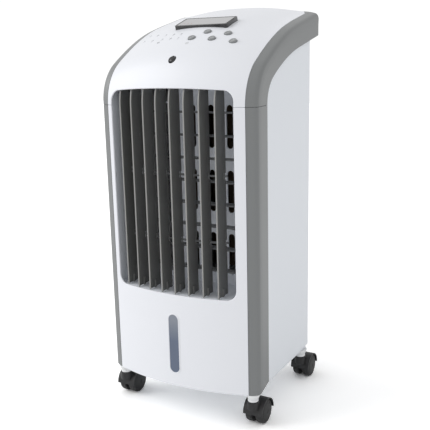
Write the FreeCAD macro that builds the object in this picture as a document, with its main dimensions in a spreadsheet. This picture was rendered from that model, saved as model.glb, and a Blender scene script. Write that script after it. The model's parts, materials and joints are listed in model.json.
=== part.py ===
"""Evaporative cooler: a floor-standing air cooler on four twin-wheel casters.

Millimetres, +Z up, front towards -Y, origin on the floor below the middle of the body.
"""

import FreeCAD, Part
import Sketcher
import math
import os
from types import SimpleNamespace

DIMENSIONS = {
    # body shell
    "body_half_width": 125.5,
    "body_depth": 246.0,
    "body_height": 600.0,
    "front_half_width": 111.0,
    "front_bow": 18.7,
    "shell_wall": 2.5,
    "shell_return": 14.0,
    "seam_gap": 0.3,
    # side view of the cover: nose arc, crown arc, straight roof
    "nose_radius": 70.0,
    "nose_angle": 57.0,
    "crown_radius": 330.0,
    "crown_angle": 20.0,
    "lip_depth": 29.0,
    "soffit_length": 26.0,
    # corner trims
    "ridge_setback": 5.5,
    "trim_wall": 3.5,
    "trim_depth": 45.2,
    "trim_taper": 3.7,
    "trim_flange": 4.9,
    "trim_bend_radius": 45.0,
    "trim_sweep_radius": 280.0,
    # side panels and rear panel
    "panel_foot_rise": 5.5,
    "rear_inset": 20.7,
    "panel_corner": 9.0,
    "panel_tuck": 10.0,
    "panel_return": 20.0,
    "filter_half_width": 82.0,
    "filter_foot_rise": 24.0,
    "filter_head_drop": 31.9,
    "filter_depth": 7.0,
    "filter_rib": 5.0,
    "filter_ribs": 17,
    # air outlet
    "grille_left": -103.0,
    "grille_right": 96.0,
    "grille_foot_rise": 1.0,
    "grille_rise": 20.0,
    "grille_corner": 14.0,
    "duct_half_width": 105.5,
    "duct_wall": 2.0,
    "duct_rise": 30.0,
    "duct_back": 60.0,
    "shelf_gap": 3.0,
    "outlet_left": -82.0,
    "outlet_right": -44.0,
    "outlet_margin": 9.0,
    "slot_left": -5.0,
    "slot_pitch": 30.5,
    "slot_half_width": 5.2,
    "slot_web": 31.5,
    "slot_margin": 16.0,
    "slot_head_margin": 32.0,
    # louvre blades
    "blade_first": -88.0,
    "blade_pitch": 22.4,
    "blade_chord": 27.0,
    "blade_wall": 1.6,
    "blade_setback": 5.0,
    "blade_end_gap": 1.5,
    "blade_knuckle": 2.6,
    "pivot_radius": 1.5,
    "running_gap": 0.05,
    "link_offset": 11.0,
    "link_pin": 1.0,
    "link_half_width": 1.8,
    "link_thickness": 2.4,
    "link_notch": 9.0,
    "link_low_rise": 76.0,
    "link_high_drop": 126.0,
    # horizontal vanes
    "vane_depth": 40.0,
    "vane_foot_margin": 28.0,
    "vane_head_margin": 41.0,
    "vane_chord": 15.0,
    "vane_wall": 1.8,
    "vane_link_place": 90.0,
    "vane_link_offset": 5.5,
    # fan
    "fan_place": -28.0,
    "fan_depth": 96.0,
    "fan_radius": 28.0,
    "fan_foot_rise": 8.0,
    "fan_head_drop": 33.0,
    "fan_disc": 2.4,
    "fan_blades": 20,
    "fan_blade_depth": 7.0,
    "fan_blade_wall": 1.0,
    "shaft_radius": 3.0,
    "motor_radius": 30.0,
    "motor_length": 34.0,
    "swing_motor_radius": 13.0,
    "swing_motor_length": 17.0,
    # water side
    "tank_top": 170.0,
    "tank_wall": 2.4,
    "tank_front": 6.5,
    "tank_floor_gap": 1.0,
    "handle_half_width": 32.0,
    "handle_height": 22.0,
    "handle_depth": 12.0,
    "window_foot_rise": 6.0,
    "window_head_drop": 7.0,
    "window_half_width": 8.0,
    "window_rim": 2.0,
    "window_proud": 0.8,
    "pump_place": 76.0,
    "pump_depth": 48.0,
    "pump_half": 20.0,
    "pump_length": 44.0,
    "hose_radius": 4.0,
    "pad_half_width": 94.0,
    "pad_front": 42.0,
    "pad_thickness": 30.0,
    "drip_height": 13.0,
    "drip_wall": 2.0,
    "drip_hole": 1.6,
    "drip_pitch": 16.0,
    "latch_length": 30.0,
    "latch_half_width": 6.5,
    "latch_thickness": 5.0,
    "latch_place": 60.0,
    # base and casters
    "base_wall": 3.0,
    "base_rim": 12.0,
    "caster_place": 112.0,
    "caster_front": 12.0,
    "caster_rear_inset": 18.8,
    "socket_radius": 10.5,
    "socket_height": 12.0,
    "socket_gap": 1.6,
    "stem_radius": 4.0,
    "stem_end_gap": 0.8,
    "wheel_radius": 18.0,
    "wheel_half_width": 14.5,
    "wheel_gap": 2.8,
    "wheel_round": 2.0,
    "caster_trail": 17.0,
    "hood_gap": 0.8,
    "hood_wall": 1.6,
    "web_half_width": 2.2,
    "axle_radius": 3.0,
    # controls on the cover
    "display_place": -1.5,
    "display_half_width": 43.5,
    "display_turn": 14.4,
    "display_length": 37.0,
    "display_proud": 3.0,
    "display_sink": 8.0,
    "display_frame": 3.0,
    "lens_thickness": 2.0,
    "button_radius": 5.4,
    "button_gap": 0.35,
    "button_first": 3.4,
    "button_pitch": 15.9,
    "button_row_low": 5.4,
    "button_row_high": 8.6,
    "button_proud": 1.8,
    "button_flange": 1.4,
    "receiver_place": -3.0,
    "receiver_angle": 45.0,
    "receiver_radius": 5.5,
    "board_half_width": 80.0,
    "board_length": 70.0,
    "board_thickness": 1.6,
    "board_drop": 2.0,
    "gland_radius": 9.0,
    "gland_place": 70.0,
    "gland_rise": 6.0,
    "gland_bore": 3.5,
}

DOC = FreeCAD.newDocument("EvaporativeCooler")
SHEET = DOC.addObject("Spreadsheet::Sheet", "Dims")


class Size:
    """A length, angle or count together with the sheet formula that gives it."""

    def __init__(self, value, text):
        self.value = value
        self.text = text

    @staticmethod
    def of(other):
        if isinstance(other, Size):
            return other
        return Size(float(other), repr(float(other)))

    def _join(self, other, sign, result):
        return Size(result, f"({self.text} {sign} {other.text})")

    def __add__(self, other):
        other = Size.of(other)
        return self._join(other, "+", self.value + other.value)

    def __sub__(self, other):
        other = Size.of(other)
        return self._join(other, "-", self.value - other.value)

    def __mul__(self, other):
        other = Size.of(other)
        return self._join(other, "*", self.value * other.value)

    def __truediv__(self, other):
        other = Size.of(other)
        return self._join(other, "/", self.value / other.value)

    def __neg__(self):
        return Size(-self.value, f"(0 - {self.text})")

    __radd__ = __add__
    __rmul__ = __mul__

    def __rsub__(self, other):
        return Size.of(other) - self


def cosine(angle):
    return Size(math.cos(math.radians(angle.value)), f"cos({angle.text})")


def sine(angle):
    return Size(math.sin(math.radians(angle.value)), f"sin({angle.text})")


def root(square):
    return Size(math.sqrt(square.value), f"sqrt({square.text})")


def fill_sheet():
    """Write one row for each driving dimension and return them by name."""
    sizes = {}
    for row, (name, value) in enumerate(DIMENSIONS.items(), start=1):
        SHEET.set(f"A{row}", name)
        SHEET.set(f"B{row}", str(value))
        SHEET.setAlias(f"B{row}", name)
        sizes[name] = Size(value, f"Dims.{name}")
    DOC.recompute()
    return SimpleNamespace(**sizes)


d = fill_sheet()


def number(size):
    return Size.of(size).value


def bind(target, path, size):
    """Tie a property to the sheet, or set it where it is a plain constant."""
    if isinstance(size, Size):
        target.setExpression(path, size.text)


# ---------------------------------------------------------------- outlines


class Circle:
    """A full circle in a sketch."""

    def __init__(self, x, y, radius):
        self.x = x
        self.y = y
        self.radius = radius


def rectangle(x0, y0, x1, y1):
    return [(x0, y0), (x1, y0), (x1, y1), (x0, y1)]


def rounded(x0, y0, x1, y1, radius):
    """A rectangle with four round corners, anticlockwise."""
    return [
        (x0 + radius, y0),
        (x1 - radius, y0, radius),
        (x1, y0 + radius),
        (x1, y1 - radius, radius),
        (x1 - radius, y1),
        (x0 + radius, y1, radius),
        (x0, y1 - radius),
        (x0, y0 + radius, radius),
    ]


def slot(x, y0, y1, half_width):
    """An upright slot with half-round ends."""
    return [
        (x + half_width, y0 + half_width),
        (x + half_width, y1 - half_width, half_width),
        (x - half_width, y1 - half_width),
        (x - half_width, y0 + half_width, half_width),
    ]


def mirrored(loop):
    """The same outline on the other side of the vertical axis."""
    points = []
    for corner in loop:
        arc = tuple(-radius for radius in corner[2:])
        points.append((-Size.of(corner[0]), corner[1]) + arc)
    return points


def arc_between(start, end, radius):
    """A circular arc from start to end, anticlockwise where the radius is positive."""
    middle = (start + end) * 0.5
    half = end - start
    reach = half.Length / 2
    side = math.sqrt(max(radius * radius - reach * reach, 0.0))
    left = FreeCAD.Vector(-half.y, half.x, 0).normalize()
    centre = middle + left * (side if radius > 0 else -side)
    circle = Part.Circle(centre, FreeCAD.Vector(0, 0, 1), abs(radius))
    first, last = (start, end) if radius > 0 else (end, start)
    begin = math.atan2(first.y - centre.y, first.x - centre.x)
    finish = math.atan2(last.y - centre.y, last.x - centre.x)
    if finish <= begin:
        finish += 2 * math.pi
    return Part.ArcOfCircle(circle, begin, finish)


PLANES = {"XY": "XY_Plane", "XZ": "XZ_Plane", "YZ": "YZ_Plane"}


class Node:
    """One piece of the cooler: a body and the features that grow and cut it."""

    def __init__(self, label):
        self.body = DOC.addObject("PartDesign::Body", label)
        self.body.Label = label
        self.label = label
        self.count = 0

    def _name(self, kind):
        self.count += 1
        return f"{self.label}_{kind}{self.count}"

    def sketch(self, loops, plane="XY", at=0.0, frame=None):
        """Draw loops on a plane of the body, or in a plan frame that is tipped about X.

        at is the place along the plane's own world axis. frame is x, y, z and the tip angle.
        """
        drawing = self.body.newObject("Sketcher::SketchObject", self._name("sketch"))
        role = PLANES[plane]
        planes = [item for item in self.body.Origin.OriginFeatures if item.Role == role]
        drawing.AttachmentSupport = (planes[0], [""])
        drawing.MapMode = "FlatFace"
        if frame:
            x, y, z, tip = frame
            turn = FreeCAD.Rotation(FreeCAD.Vector(-1, 0, 0), number(tip))
            base = FreeCAD.Vector(number(x), number(y), number(z))
            drawing.AttachmentOffset = FreeCAD.Placement(base, turn)
            bind(drawing, "AttachmentOffset.Base.x", x)
            bind(drawing, "AttachmentOffset.Base.y", y)
            bind(drawing, "AttachmentOffset.Base.z", z)
            bind(drawing, "AttachmentOffset.Rotation.Angle", tip)
        else:
            along = -Size.of(at) if plane == "XZ" else Size.of(at)
            base = FreeCAD.Vector(0, 0, number(along))
            drawing.AttachmentOffset = FreeCAD.Placement(base, FreeCAD.Rotation())
            bind(drawing, "AttachmentOffset.Base.z", along)
        for loop in loops:
            if isinstance(loop, Circle):
                self._draw_circle(drawing, loop)
            else:
                self._draw_loop(drawing, loop)
        return drawing

    def _hold(self, drawing, kind, place, size):
        index = drawing.addConstraint(Sketcher.Constraint(kind, *place, number(size)))
        if isinstance(size, Size):
            drawing.setExpression(f"Constraints[{index}]", size.text)

    def _draw_circle(self, drawing, loop):
        centre = FreeCAD.Vector(number(loop.x), number(loop.y), 0)
        circle = Part.Circle(centre, FreeCAD.Vector(0, 0, 1), number(loop.radius))
        index = drawing.addGeometry(circle, False)
        self._hold(drawing, "DistanceX", (-1, 1, index, 3), loop.x)
        self._hold(drawing, "DistanceY", (-1, 1, index, 3), loop.y)
        self._hold(drawing, "Radius", (index,), loop.radius)

    def _hold_arc(self, drawing, index, point, start, end):
        """Size an arc by its radius, or by its centre where it is a half circle."""
        radius = Size.of(point[2])
        if (end - start).Length < abs(radius.value) * 1.9999:
            size = radius if radius.value > 0 else -radius
            self._hold(drawing, "Radius", (index,), size)
        elif abs(end.x - start.x) > abs(end.y - start.y):
            self._hold(drawing, "DistanceY", (-1, 1, index, 3), point[1])
        else:
            self._hold(drawing, "DistanceX", (-1, 1, index, 3), point[0])

    def _draw_loop(self, drawing, loop):
        corners = [FreeCAD.Vector(number(p[0]), number(p[1]), 0) for p in loop]
        ends = []
        for place, point in enumerate(loop):
            start = corners[place]
            end = corners[(place + 1) % len(loop)]
            if len(point) == 3:
                radius = number(point[2])
                index = drawing.addGeometry(arc_between(start, end, radius), False)
                first = (index, 1) if radius > 0 else (index, 2)
                last = (index, 2) if radius > 0 else (index, 1)
                self._hold_arc(drawing, index, point, start, end)
            else:
                index = drawing.addGeometry(Part.LineSegment(start, end), False)
                first = (index, 1)
                last = (index, 2)
            ends.append((first, last))
            self._hold(drawing, "DistanceX", (-1, 1) + first, point[0])
            self._hold(drawing, "DistanceY", (-1, 1) + first, point[1])
        for place, (first, last) in enumerate(ends):
            follower = ends[(place + 1) % len(ends)][0]
            drawing.addConstraint(Sketcher.Constraint("Coincident", *last, *follower))

    def _feature(self, kind, drawing, reverse):
        feature = self.body.newObject(f"PartDesign::{kind}", self._name(kind.lower()))
        feature.Profile = drawing
        feature.Reversed = reverse
        drawing.Visibility = False
        return feature

    def pad(self, loops, length, reverse=False, **where):
        feature = self._feature("Pad", self.sketch(loops, **where), reverse)
        feature.Length = number(length)
        bind(feature, "Length", length)
        return self

    def pocket(self, loops, length, reverse=False, **where):
        feature = self._feature("Pocket", self.sketch(loops, **where), reverse)
        feature.Length = number(length)
        bind(feature, "Length", length)
        return self

    def spin(self, kind, loops, angle, axis, reverse=False, **where):
        drawing = self.sketch(loops, **where)
        feature = self._feature(kind, drawing, reverse)
        feature.ReferenceAxis = (drawing, [axis])
        feature.Angle = number(angle)
        bind(feature, "Angle", angle)
        return self

    def revolve(self, loops, angle=360.0, axis="H_Axis", reverse=False, **where):
        return self.spin("Revolution", loops, angle, axis, reverse, **where)

    def groove(self, loops, angle=360.0, axis="H_Axis", reverse=False, **where):
        return self.spin("Groove", loops, angle, axis, reverse, **where)

    def row(self, pitch, count, plane):
        """Repeat the last feature along the normal of one of the body's planes."""
        last = self.body.Tip
        role = PLANES[plane]
        planes = [item for item in self.body.Origin.OriginFeatures if item.Role == role]
        pattern = self.body.newObject("PartDesign::LinearPattern", self._name("row"))
        pattern.Originals = [last]
        pattern.Direction = (planes[0], [""])
        pattern.Occurrences = int(number(count))
        pattern.Length = number(pitch * (count - 1))
        bind(pattern, "Occurrences", count)
        bind(pattern, "Length", pitch * (count - 1))
        self.body.Tip = pattern
        return self

    def ring(self, count, drawing):
        """Repeat the last feature around the normal of a drawing."""
        last = self.body.Tip
        pattern = self.body.newObject("PartDesign::PolarPattern", self._name("ring"))
        pattern.Originals = [last]
        pattern.Axis = (drawing, ["N_Axis"])
        pattern.Angle = 360.0
        pattern.Occurrences = int(number(count))
        bind(pattern, "Occurrences", count)
        self.body.Tip = pattern
        return self


# ---------------------------------------------------------------- shared lines of the body

FRONT = d.front_bow - d.body_depth / 2
BOW_RADIUS = (d.front_half_width * d.front_half_width + d.front_bow * d.front_bow) / (2 * d.front_bow)
NOSE_TIP = d.nose_angle
ROOF_TIP = d.nose_angle + d.crown_angle
NOSE_Y = FRONT + d.nose_radius
CROWN_Y = NOSE_Y + (d.crown_radius - d.nose_radius) * cosine(NOSE_TIP)
LIP_RADIUS = d.crown_radius - d.lip_depth
ROOF_LENGTH = (d.body_depth / 2 - CROWN_Y + LIP_RADIUS * cosine(ROOF_TIP)) / sine(ROOF_TIP)
ROOF_RISE = (d.crown_radius + d.front_bow) * sine(ROOF_TIP) + ROOF_LENGTH * cosine(ROOF_TIP)
CROWN_Z = d.body_height - ROOF_RISE
SPLIT = CROWN_Z + (d.crown_radius - d.nose_radius) * sine(NOSE_TIP)

SOCKET_FOOT = d.wheel_radius * 2 + d.hood_gap + d.hood_wall + d.socket_gap
SKIRT = SOCKET_FOOT + d.socket_height
PANEL_FOOT = SKIRT + d.panel_foot_rise
PANEL_X = d.body_half_width - d.trim_flange - d.seam_gap
INNER_X = PANEL_X - d.shell_wall - d.seam_gap
RETURN_X = PANEL_X - d.panel_return
REAR_X = RETURN_X - d.seam_gap
PANEL_FRONT = FRONT + d.trim_depth - d.panel_tuck
PANEL_REAR = d.body_depth / 2 - d.rear_inset
PANEL_IN = PANEL_REAR - d.shell_wall
DUCT_TOP = SPLIT + d.duct_rise
DUCT_OUT = d.duct_half_width + d.duct_wall
SHELF = d.tank_top + d.swing_motor_length + d.shelf_gap
SHELF_TOP = SHELF + d.duct_wall
GRILLE_FOOT = SHELF_TOP + d.grille_foot_rise
DUCT_BACK = FRONT + d.duct_back
GRILLE_TOP = SPLIT + d.grille_rise
BASE_TOP = SKIRT + d.base_wall
WINDOW_FOOT = BASE_TOP + d.base_rim + d.window_foot_rise
WINDOW_TOP = d.tank_top - d.window_head_drop
CASTER_REAR = PANEL_REAR - d.caster_rear_inset
FAN_FOOT = SHELF_TOP + d.fan_foot_rise
FAN_LENGTH = DUCT_TOP - d.fan_head_drop - FAN_FOOT
LINK_LOW = SHELF_TOP + d.link_low_rise
LINK_HIGH = DUCT_TOP - d.link_high_drop
FILTER_FOOT = SHELF_TOP + d.filter_foot_rise
TANK_X = RETURN_X - d.tank_floor_gap
TANK_FOOT = BASE_TOP + d.tank_floor_gap
LATCH_HEIGHT = d.tank_top + d.latch_half_width * 2
GLAND_Z = SHELF + d.gland_rise
PIN_FOOT = SHELF - d.duct_wall * 1.5
VANE_Y = FRONT + d.vane_depth
VANE_PIN = d.vane_wall / 2
FAN_Y = FRONT + d.fan_depth
SHAFT_OVER = FAN_FOOT - SHELF - d.running_gap * 4
MOTOR_FOOT = FAN_FOOT + FAN_LENGTH + d.duct_wall * 2
DRIP_FOOT = DUCT_TOP + d.duct_wall
HOSE_X = d.pump_place + d.pump_half - d.hose_radius * 1.2
BLADES = 8
VANES = 8
BUTTONS = 5
SLOT_COLUMNS = 3
SLOT_ROWS = 3
DRIP_HOLES = 10
PIN_SPARE = 0.5


def bow_at(x):
    """How far the front stands out at x, compared with its two side edges."""
    return root(BOW_RADIUS * BOW_RADIUS - x * x) - BOW_RADIUS + d.front_bow


def nose_frame(tip, x=0.0):
    return (x, NOSE_Y, SPLIT, tip)


def crown_frame(tip, along=0.0, x=0.0):
    """A plan frame on the crown's centre, moved along the roof line."""
    return (x, CROWN_Y + sine(tip) * along, CROWN_Z + cosine(tip) * along, tip)


def shell_section(base):
    """Bowed white skin with a return along each side."""
    outer = d.front_half_width
    inner = outer - d.shell_wall
    back = base + d.shell_wall - bow_at(inner)
    return [
        (-outer, base, BOW_RADIUS),
        (outer, base),
        (outer, base + d.shell_return),
        (inner, base + d.shell_return),
        (inner, back, -BOW_RADIUS),
        (-inner, back),
        (-inner, base + d.shell_return),
        (-outer, base + d.shell_return),
    ]


def trim_section(base, depth):
    """Corner trim: a slanted face up to the ridge and a flange thinning to the rear."""
    edge = d.front_half_width + d.seam_gap
    outer = d.body_half_width
    inner = outer - d.trim_flange
    return [
        (edge, base),
        (outer, base + d.ridge_setback),
        (outer - d.trim_taper, base + depth),
        (inner, base + depth),
        (inner, base + d.ridge_setback + d.trim_wall),
        (edge, base + d.trim_wall),
    ]


def sweep_line(tuck):
    """Side view of the flange's inner edge, moved outwards by tuck."""
    bend_y = FRONT + d.trim_depth + d.trim_bend_radius
    bend = d.trim_bend_radius + tuck
    reach = d.trim_sweep_radius - d.trim_bend_radius
    sweep_y = bend_y + reach * cosine(NOSE_TIP)
    sweep_z = SPLIT - reach * sine(NOSE_TIP)
    sweep = d.trim_sweep_radius + tuck
    end_y = sweep_y - sweep * cosine(ROOF_TIP)
    end_z = sweep_z + sweep * sine(ROOF_TIP)
    return [
        (bend_y - bend, SPLIT, -bend),
        (bend_y - bend * cosine(NOSE_TIP), SPLIT + bend * sine(NOSE_TIP), -sweep),
        (end_y, end_z),
        (end_y + ROOF_LENGTH * 2 * sine(ROOF_TIP), end_z + ROOF_LENGTH * 2 * cosine(ROOF_TIP)),
    ]


def soffit_height(y):
    """Height of the underside of the rear lip at depth y."""
    along = (y - CROWN_Y + LIP_RADIUS * cosine(ROOF_TIP)) / sine(ROOF_TIP)
    return CROWN_Z + LIP_RADIUS * sine(ROOF_TIP) + along * cosine(ROOF_TIP)


FILTER_TOP = soffit_height(PANEL_IN) - d.filter_head_drop


def floor_outline(inset, rear):
    """Plan of a floor that fits behind the bowed front and between the side panels."""
    step = d.front_half_width - d.shell_wall - d.seam_gap - inset
    wide = INNER_X - inset
    front = FRONT + d.shell_wall + d.seam_gap * 2 + inset - bow_at(step)
    back = FRONT + d.shell_return + d.seam_gap + inset
    return [
        (-step, front, BOW_RADIUS),
        (step, front),
        (step, back),
        (wide, back),
        (wide, rear),
        (-wide, rear),
        (-wide, back),
        (-step, back),
    ]


# ---------------------------------------------------------------- body shell


def cut_grille(node):
    """Cut the outlet's rounded opening through a front skin."""
    opening = rounded(d.grille_left, GRILLE_FOOT, d.grille_right, GRILLE_TOP, d.grille_corner)
    depth = d.front_bow + d.shell_return * 2
    return node.pocket([opening], depth, plane="XZ", at=FRONT - d.front_bow - d.shell_wall)


def front_panel():
    node = Node("front_panel")
    height = SPLIT - d.seam_gap - SKIRT
    frame = (0.0, FRONT, SKIRT, 0.0)
    node.pad([shell_section(Size.of(0.0))], height, frame=frame)
    cut_grille(node)
    window = slot(Size.of(0.0), WINDOW_FOOT, WINDOW_TOP, d.window_half_width)
    node.pocket([window], d.shell_wall * 3, plane="XZ", at=FRONT - d.front_bow - d.shell_wall)
    return node


def nose_section(node, loop_of, side=1):
    """Sweep a plan section over the nose, the crown and the roof."""
    nose = loop_of(-d.nose_radius)
    crown = loop_of(-d.crown_radius)
    if side < 0:
        nose = mirrored(nose)
        crown = mirrored(crown)
    node.revolve([nose], d.nose_angle, reverse=True, frame=nose_frame(0.0))
    node.revolve([crown], d.crown_angle, reverse=True, frame=crown_frame(NOSE_TIP))
    node.pad([crown], ROOF_LENGTH, frame=crown_frame(ROOF_TIP))
    return node


def button_places():
    """Name, x and tip angle of each control button."""
    places = []
    for index in range(BUTTONS):
        row = d.button_row_high if index % 2 else d.button_row_low
        places.append((f"button_{index + 1}", d.button_first + d.button_pitch * index, NOSE_TIP + row))
    return places


def display_frame(spare):
    tip = NOSE_TIP + d.display_turn
    return crown_frame(tip, -d.display_length / 2 - spare)


def display_loop(spare, top, bottom):
    """Section of the display block, between two depths from the crown's apex."""
    apex = -(d.crown_radius + d.front_bow)
    left = d.display_place - d.display_half_width - spare
    right = d.display_place + d.display_half_width + spare
    return rectangle(left, apex - top, right, apex + bottom)


def bore_section(reach, radius):
    """Half section of a round hole through the skin, reach out from the frame's centre."""
    return rectangle(Size.of(0.0), -reach - d.shell_wall, radius, d.shell_wall * 2 - reach)


def top_cover():
    node = nose_section(Node("top_cover"), shell_section)
    radius = -d.crown_radius
    edge = d.front_half_width
    wall = [
        (-edge, radius, BOW_RADIUS),
        (edge, radius),
        (edge, radius + d.lip_depth),
        (-edge, radius + d.lip_depth),
    ]
    node.pad([wall], d.shell_wall, frame=crown_frame(ROOF_TIP, ROOF_LENGTH - d.shell_wall))
    width = REAR_X - d.seam_gap
    soffit = rectangle(-width, radius + d.lip_depth - d.shell_wall, width, radius + d.lip_depth)
    node.pad([soffit], d.soffit_length, frame=crown_frame(ROOF_TIP, ROOF_LENGTH - d.soffit_length))
    cut_grille(node)
    hole = display_loop(d.seam_gap, d.display_proud * 2, d.display_sink * 2)
    length = d.display_length + d.seam_gap * 2
    node.pocket([hole], length, reverse=True, frame=display_frame(d.seam_gap))
    for _, x, tip in button_places():
        bore = bore_section(d.crown_radius + bow_at(x), d.button_radius + d.button_gap)
        node.groove([bore], axis="V_Axis", frame=crown_frame(tip, x=x))
    bore = bore_section(d.nose_radius + bow_at(d.receiver_place), d.receiver_radius)
    node.groove([bore], axis="V_Axis", frame=nose_frame(d.receiver_angle, d.receiver_place))
    return node


def lower_trim(label, side):
    node = Node(label)
    loop = trim_section(Size.of(0.0), d.trim_depth)
    if side < 0:
        loop = mirrored(loop)
    frame = (0.0, FRONT, SKIRT, 0.0)
    node.pad([loop], SPLIT - d.seam_gap - SKIRT, frame=frame)
    foot = [
        (FRONT + d.ridge_setback, SKIRT),
        (FRONT + d.ridge_setback, SKIRT - d.trim_wall),
        (FRONT + d.trim_depth + d.trim_wall, SKIRT - d.trim_wall),
        (FRONT + d.trim_depth + d.trim_wall, PANEL_FOOT),
        (FRONT + d.trim_depth, PANEL_FOOT),
    ]
    width = d.body_half_width * 2 + d.trim_wall * 2
    node.pocket([foot], width, plane="YZ", at=d.body_half_width + d.trim_wall)
    return node


def upper_trim(label, side):
    depth = d.trim_depth + d.seam_gap
    node = nose_section(Node(label), lambda base: trim_section(base, depth), side)
    line = sweep_line(Size.of(0.0))
    last = line[-1]
    below = [(line[0][0], SPLIT - d.trim_wall)] + line + [(last[0], SPLIT - d.trim_wall)]
    width = d.body_half_width * 2 + d.trim_wall * 2
    node.pocket([below], width, plane="YZ", at=d.body_half_width + d.trim_wall)
    return node


def side_panel(label, side):
    """Flat side with a rounded rear corner and a short return."""
    node = Node(label)
    inner = PANEL_X - d.shell_wall
    corner = d.panel_corner
    loop = [
        (PANEL_X, PANEL_FRONT),
        (PANEL_X, PANEL_REAR - corner, corner),
        (PANEL_X - corner, PANEL_REAR),
        (RETURN_X, PANEL_REAR),
        (RETURN_X, PANEL_IN),
        (PANEL_X - corner, PANEL_IN, -(corner - d.shell_wall)),
        (inner, PANEL_REAR - corner),
        (inner, PANEL_FRONT),
    ]
    if side < 0:
        loop = mirrored(loop)
    node.pad([loop], d.body_height - PANEL_FOOT, at=PANEL_FOOT)
    line = sweep_line(d.panel_tuck)
    last = line[-1]
    start = line[0][0] - d.panel_tuck
    above = [(start, SPLIT)] + line + [(last[0], d.body_height * 2), (start, d.body_height * 2)]
    node.pocket([above], d.body_half_width * 2, plane="YZ", at=d.body_half_width)
    return node


def rear_panel():
    node = Node("rear_panel")
    foot = d.tank_top + d.seam_gap * 3
    top = soffit_height(PANEL_IN) - d.seam_gap
    node.pad([rectangle(-REAR_X, foot, REAR_X, top)], d.shell_wall, plane="XZ", at=PANEL_REAR)
    tongue = REAR_X + d.panel_return / 2
    behind = PANEL_IN - d.seam_gap
    node.pad([rectangle(-REAR_X, foot, REAR_X, top)], d.seam_gap, plane="XZ", at=PANEL_IN)
    node.pad([rectangle(-tongue, FILTER_FOOT, tongue, FILTER_TOP)], d.duct_wall, plane="XZ", at=behind)
    half = d.filter_half_width
    opening = rectangle(-half, FILTER_FOOT, half, FILTER_TOP)
    node.pocket([opening], d.shell_wall * 4, plane="XZ", at=behind - d.duct_wall * 2)
    gland = Circle(d.gland_place, GLAND_Z, d.gland_radius - d.shell_wall)
    pin = Circle(-d.latch_place, LATCH_HEIGHT, d.pivot_radius + d.running_gap)
    node.pocket([gland, pin], d.shell_wall * 4, plane="XZ", at=behind - d.duct_wall * 2)
    return node


def base_chassis():
    node = Node("base_chassis")
    rear = PANEL_REAR - d.panel_corner
    node.pad([floor_outline(Size.of(0.0), rear)], d.base_wall + d.base_rim, at=SKIRT)
    tray = floor_outline(d.shell_wall, rear + d.shell_wall)
    node.pocket([tray], d.base_rim, at=BASE_TOP + d.base_rim)
    return node


# ---------------------------------------------------------------- air outlet


def blade_spots():
    """Plan position of each louvre blade's pivot."""
    spots = []
    for index in range(BLADES):
        x = d.blade_first + d.blade_pitch * index
        spots.append((x, FRONT - bow_at(x) + d.blade_setback + d.blade_chord / 2))
    return spots


def vane_heights():
    low = SHELF_TOP + d.vane_foot_margin
    pitch = (DUCT_TOP - d.vane_head_margin - low) / (VANES - 1)
    return [low + pitch * index for index in range(VANES)]


def outlet_duct():
    """Inner frame: shelf over the tank, duct walls, slotted back and top plate."""
    node = Node("outlet_duct")
    rear = d.pad_front + d.pad_thickness + d.duct_wall * 2
    node.pad([floor_outline(Size.of(0.0), rear)], d.duct_wall, at=SHELF)
    front = FRONT - bow_at(DUCT_OUT) + d.shell_wall + d.seam_gap * 2
    height = DUCT_TOP - SHELF + d.duct_wall
    for side in (1, -1):
        wall = rectangle(d.duct_half_width, front, DUCT_OUT, rear)
        if side < 0:
            wall = mirrored(wall)
        node.pad([wall], height, at=SHELF)
    back = rectangle(-DUCT_OUT, DUCT_BACK, DUCT_OUT, DUCT_BACK + d.duct_wall)
    node.pad([back], height, at=SHELF)
    lid = [
        (-DUCT_OUT, front, BOW_RADIUS),
        (DUCT_OUT, front),
        (DUCT_OUT, DUCT_BACK),
        (-DUCT_OUT, DUCT_BACK),
    ]
    node.pad([lid], d.duct_wall, at=DUCT_TOP)
    reach = d.motor_radius + d.duct_wall
    x0 = d.fan_place - reach
    plate = rectangle(x0, DUCT_BACK, d.fan_place + reach, FAN_Y + reach)
    node.pad([plate], d.duct_wall, at=MOTOR_FOOT - d.duct_wall)
    clear = d.shell_wall + d.seam_gap * 2
    far = d.nose_radius + d.front_bow * 2
    wide = d.body_half_width
    step = d.front_half_width - d.shell_wall
    line = clear - d.nose_radius - bow_at(step)
    outside = [
        (-wide, -far),
        (wide, -far),
        (wide, line),
        (step, line, -BOW_RADIUS),
        (-step, line),
        (-wide, line),
    ]
    node.groove([outside], d.nose_angle, reverse=True, frame=nose_frame(0.0))
    pivots = [Circle(x, y, d.pivot_radius + d.running_gap) for x, y in blade_spots()]
    shaft = Circle(d.fan_place, FAN_Y, d.shaft_radius + d.running_gap)
    hose = Circle(HOSE_X, d.pump_depth, d.hose_radius + d.seam_gap)
    node.pocket(pivots + [shaft, hose], d.duct_wall * 2, at=SHELF_TOP + d.duct_wall)
    node.pocket(pivots, d.duct_wall * 2, at=DUCT_TOP + d.duct_wall * 1.5)
    hub = Circle(d.fan_place, FAN_Y, d.shaft_radius * 2)
    node.pocket([hub], d.duct_wall * 2, at=MOTOR_FOOT + d.duct_wall)
    axles = [Circle(VANE_Y, z, d.pivot_radius + d.running_gap) for z in vane_heights()]
    node.pocket(axles, DUCT_OUT * 2 + d.duct_wall, plane="YZ", at=DUCT_OUT + d.duct_wall / 2)
    node.pocket(duct_openings(), d.duct_wall * 3, plane="XZ", at=DUCT_BACK - d.duct_wall)
    return node


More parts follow.
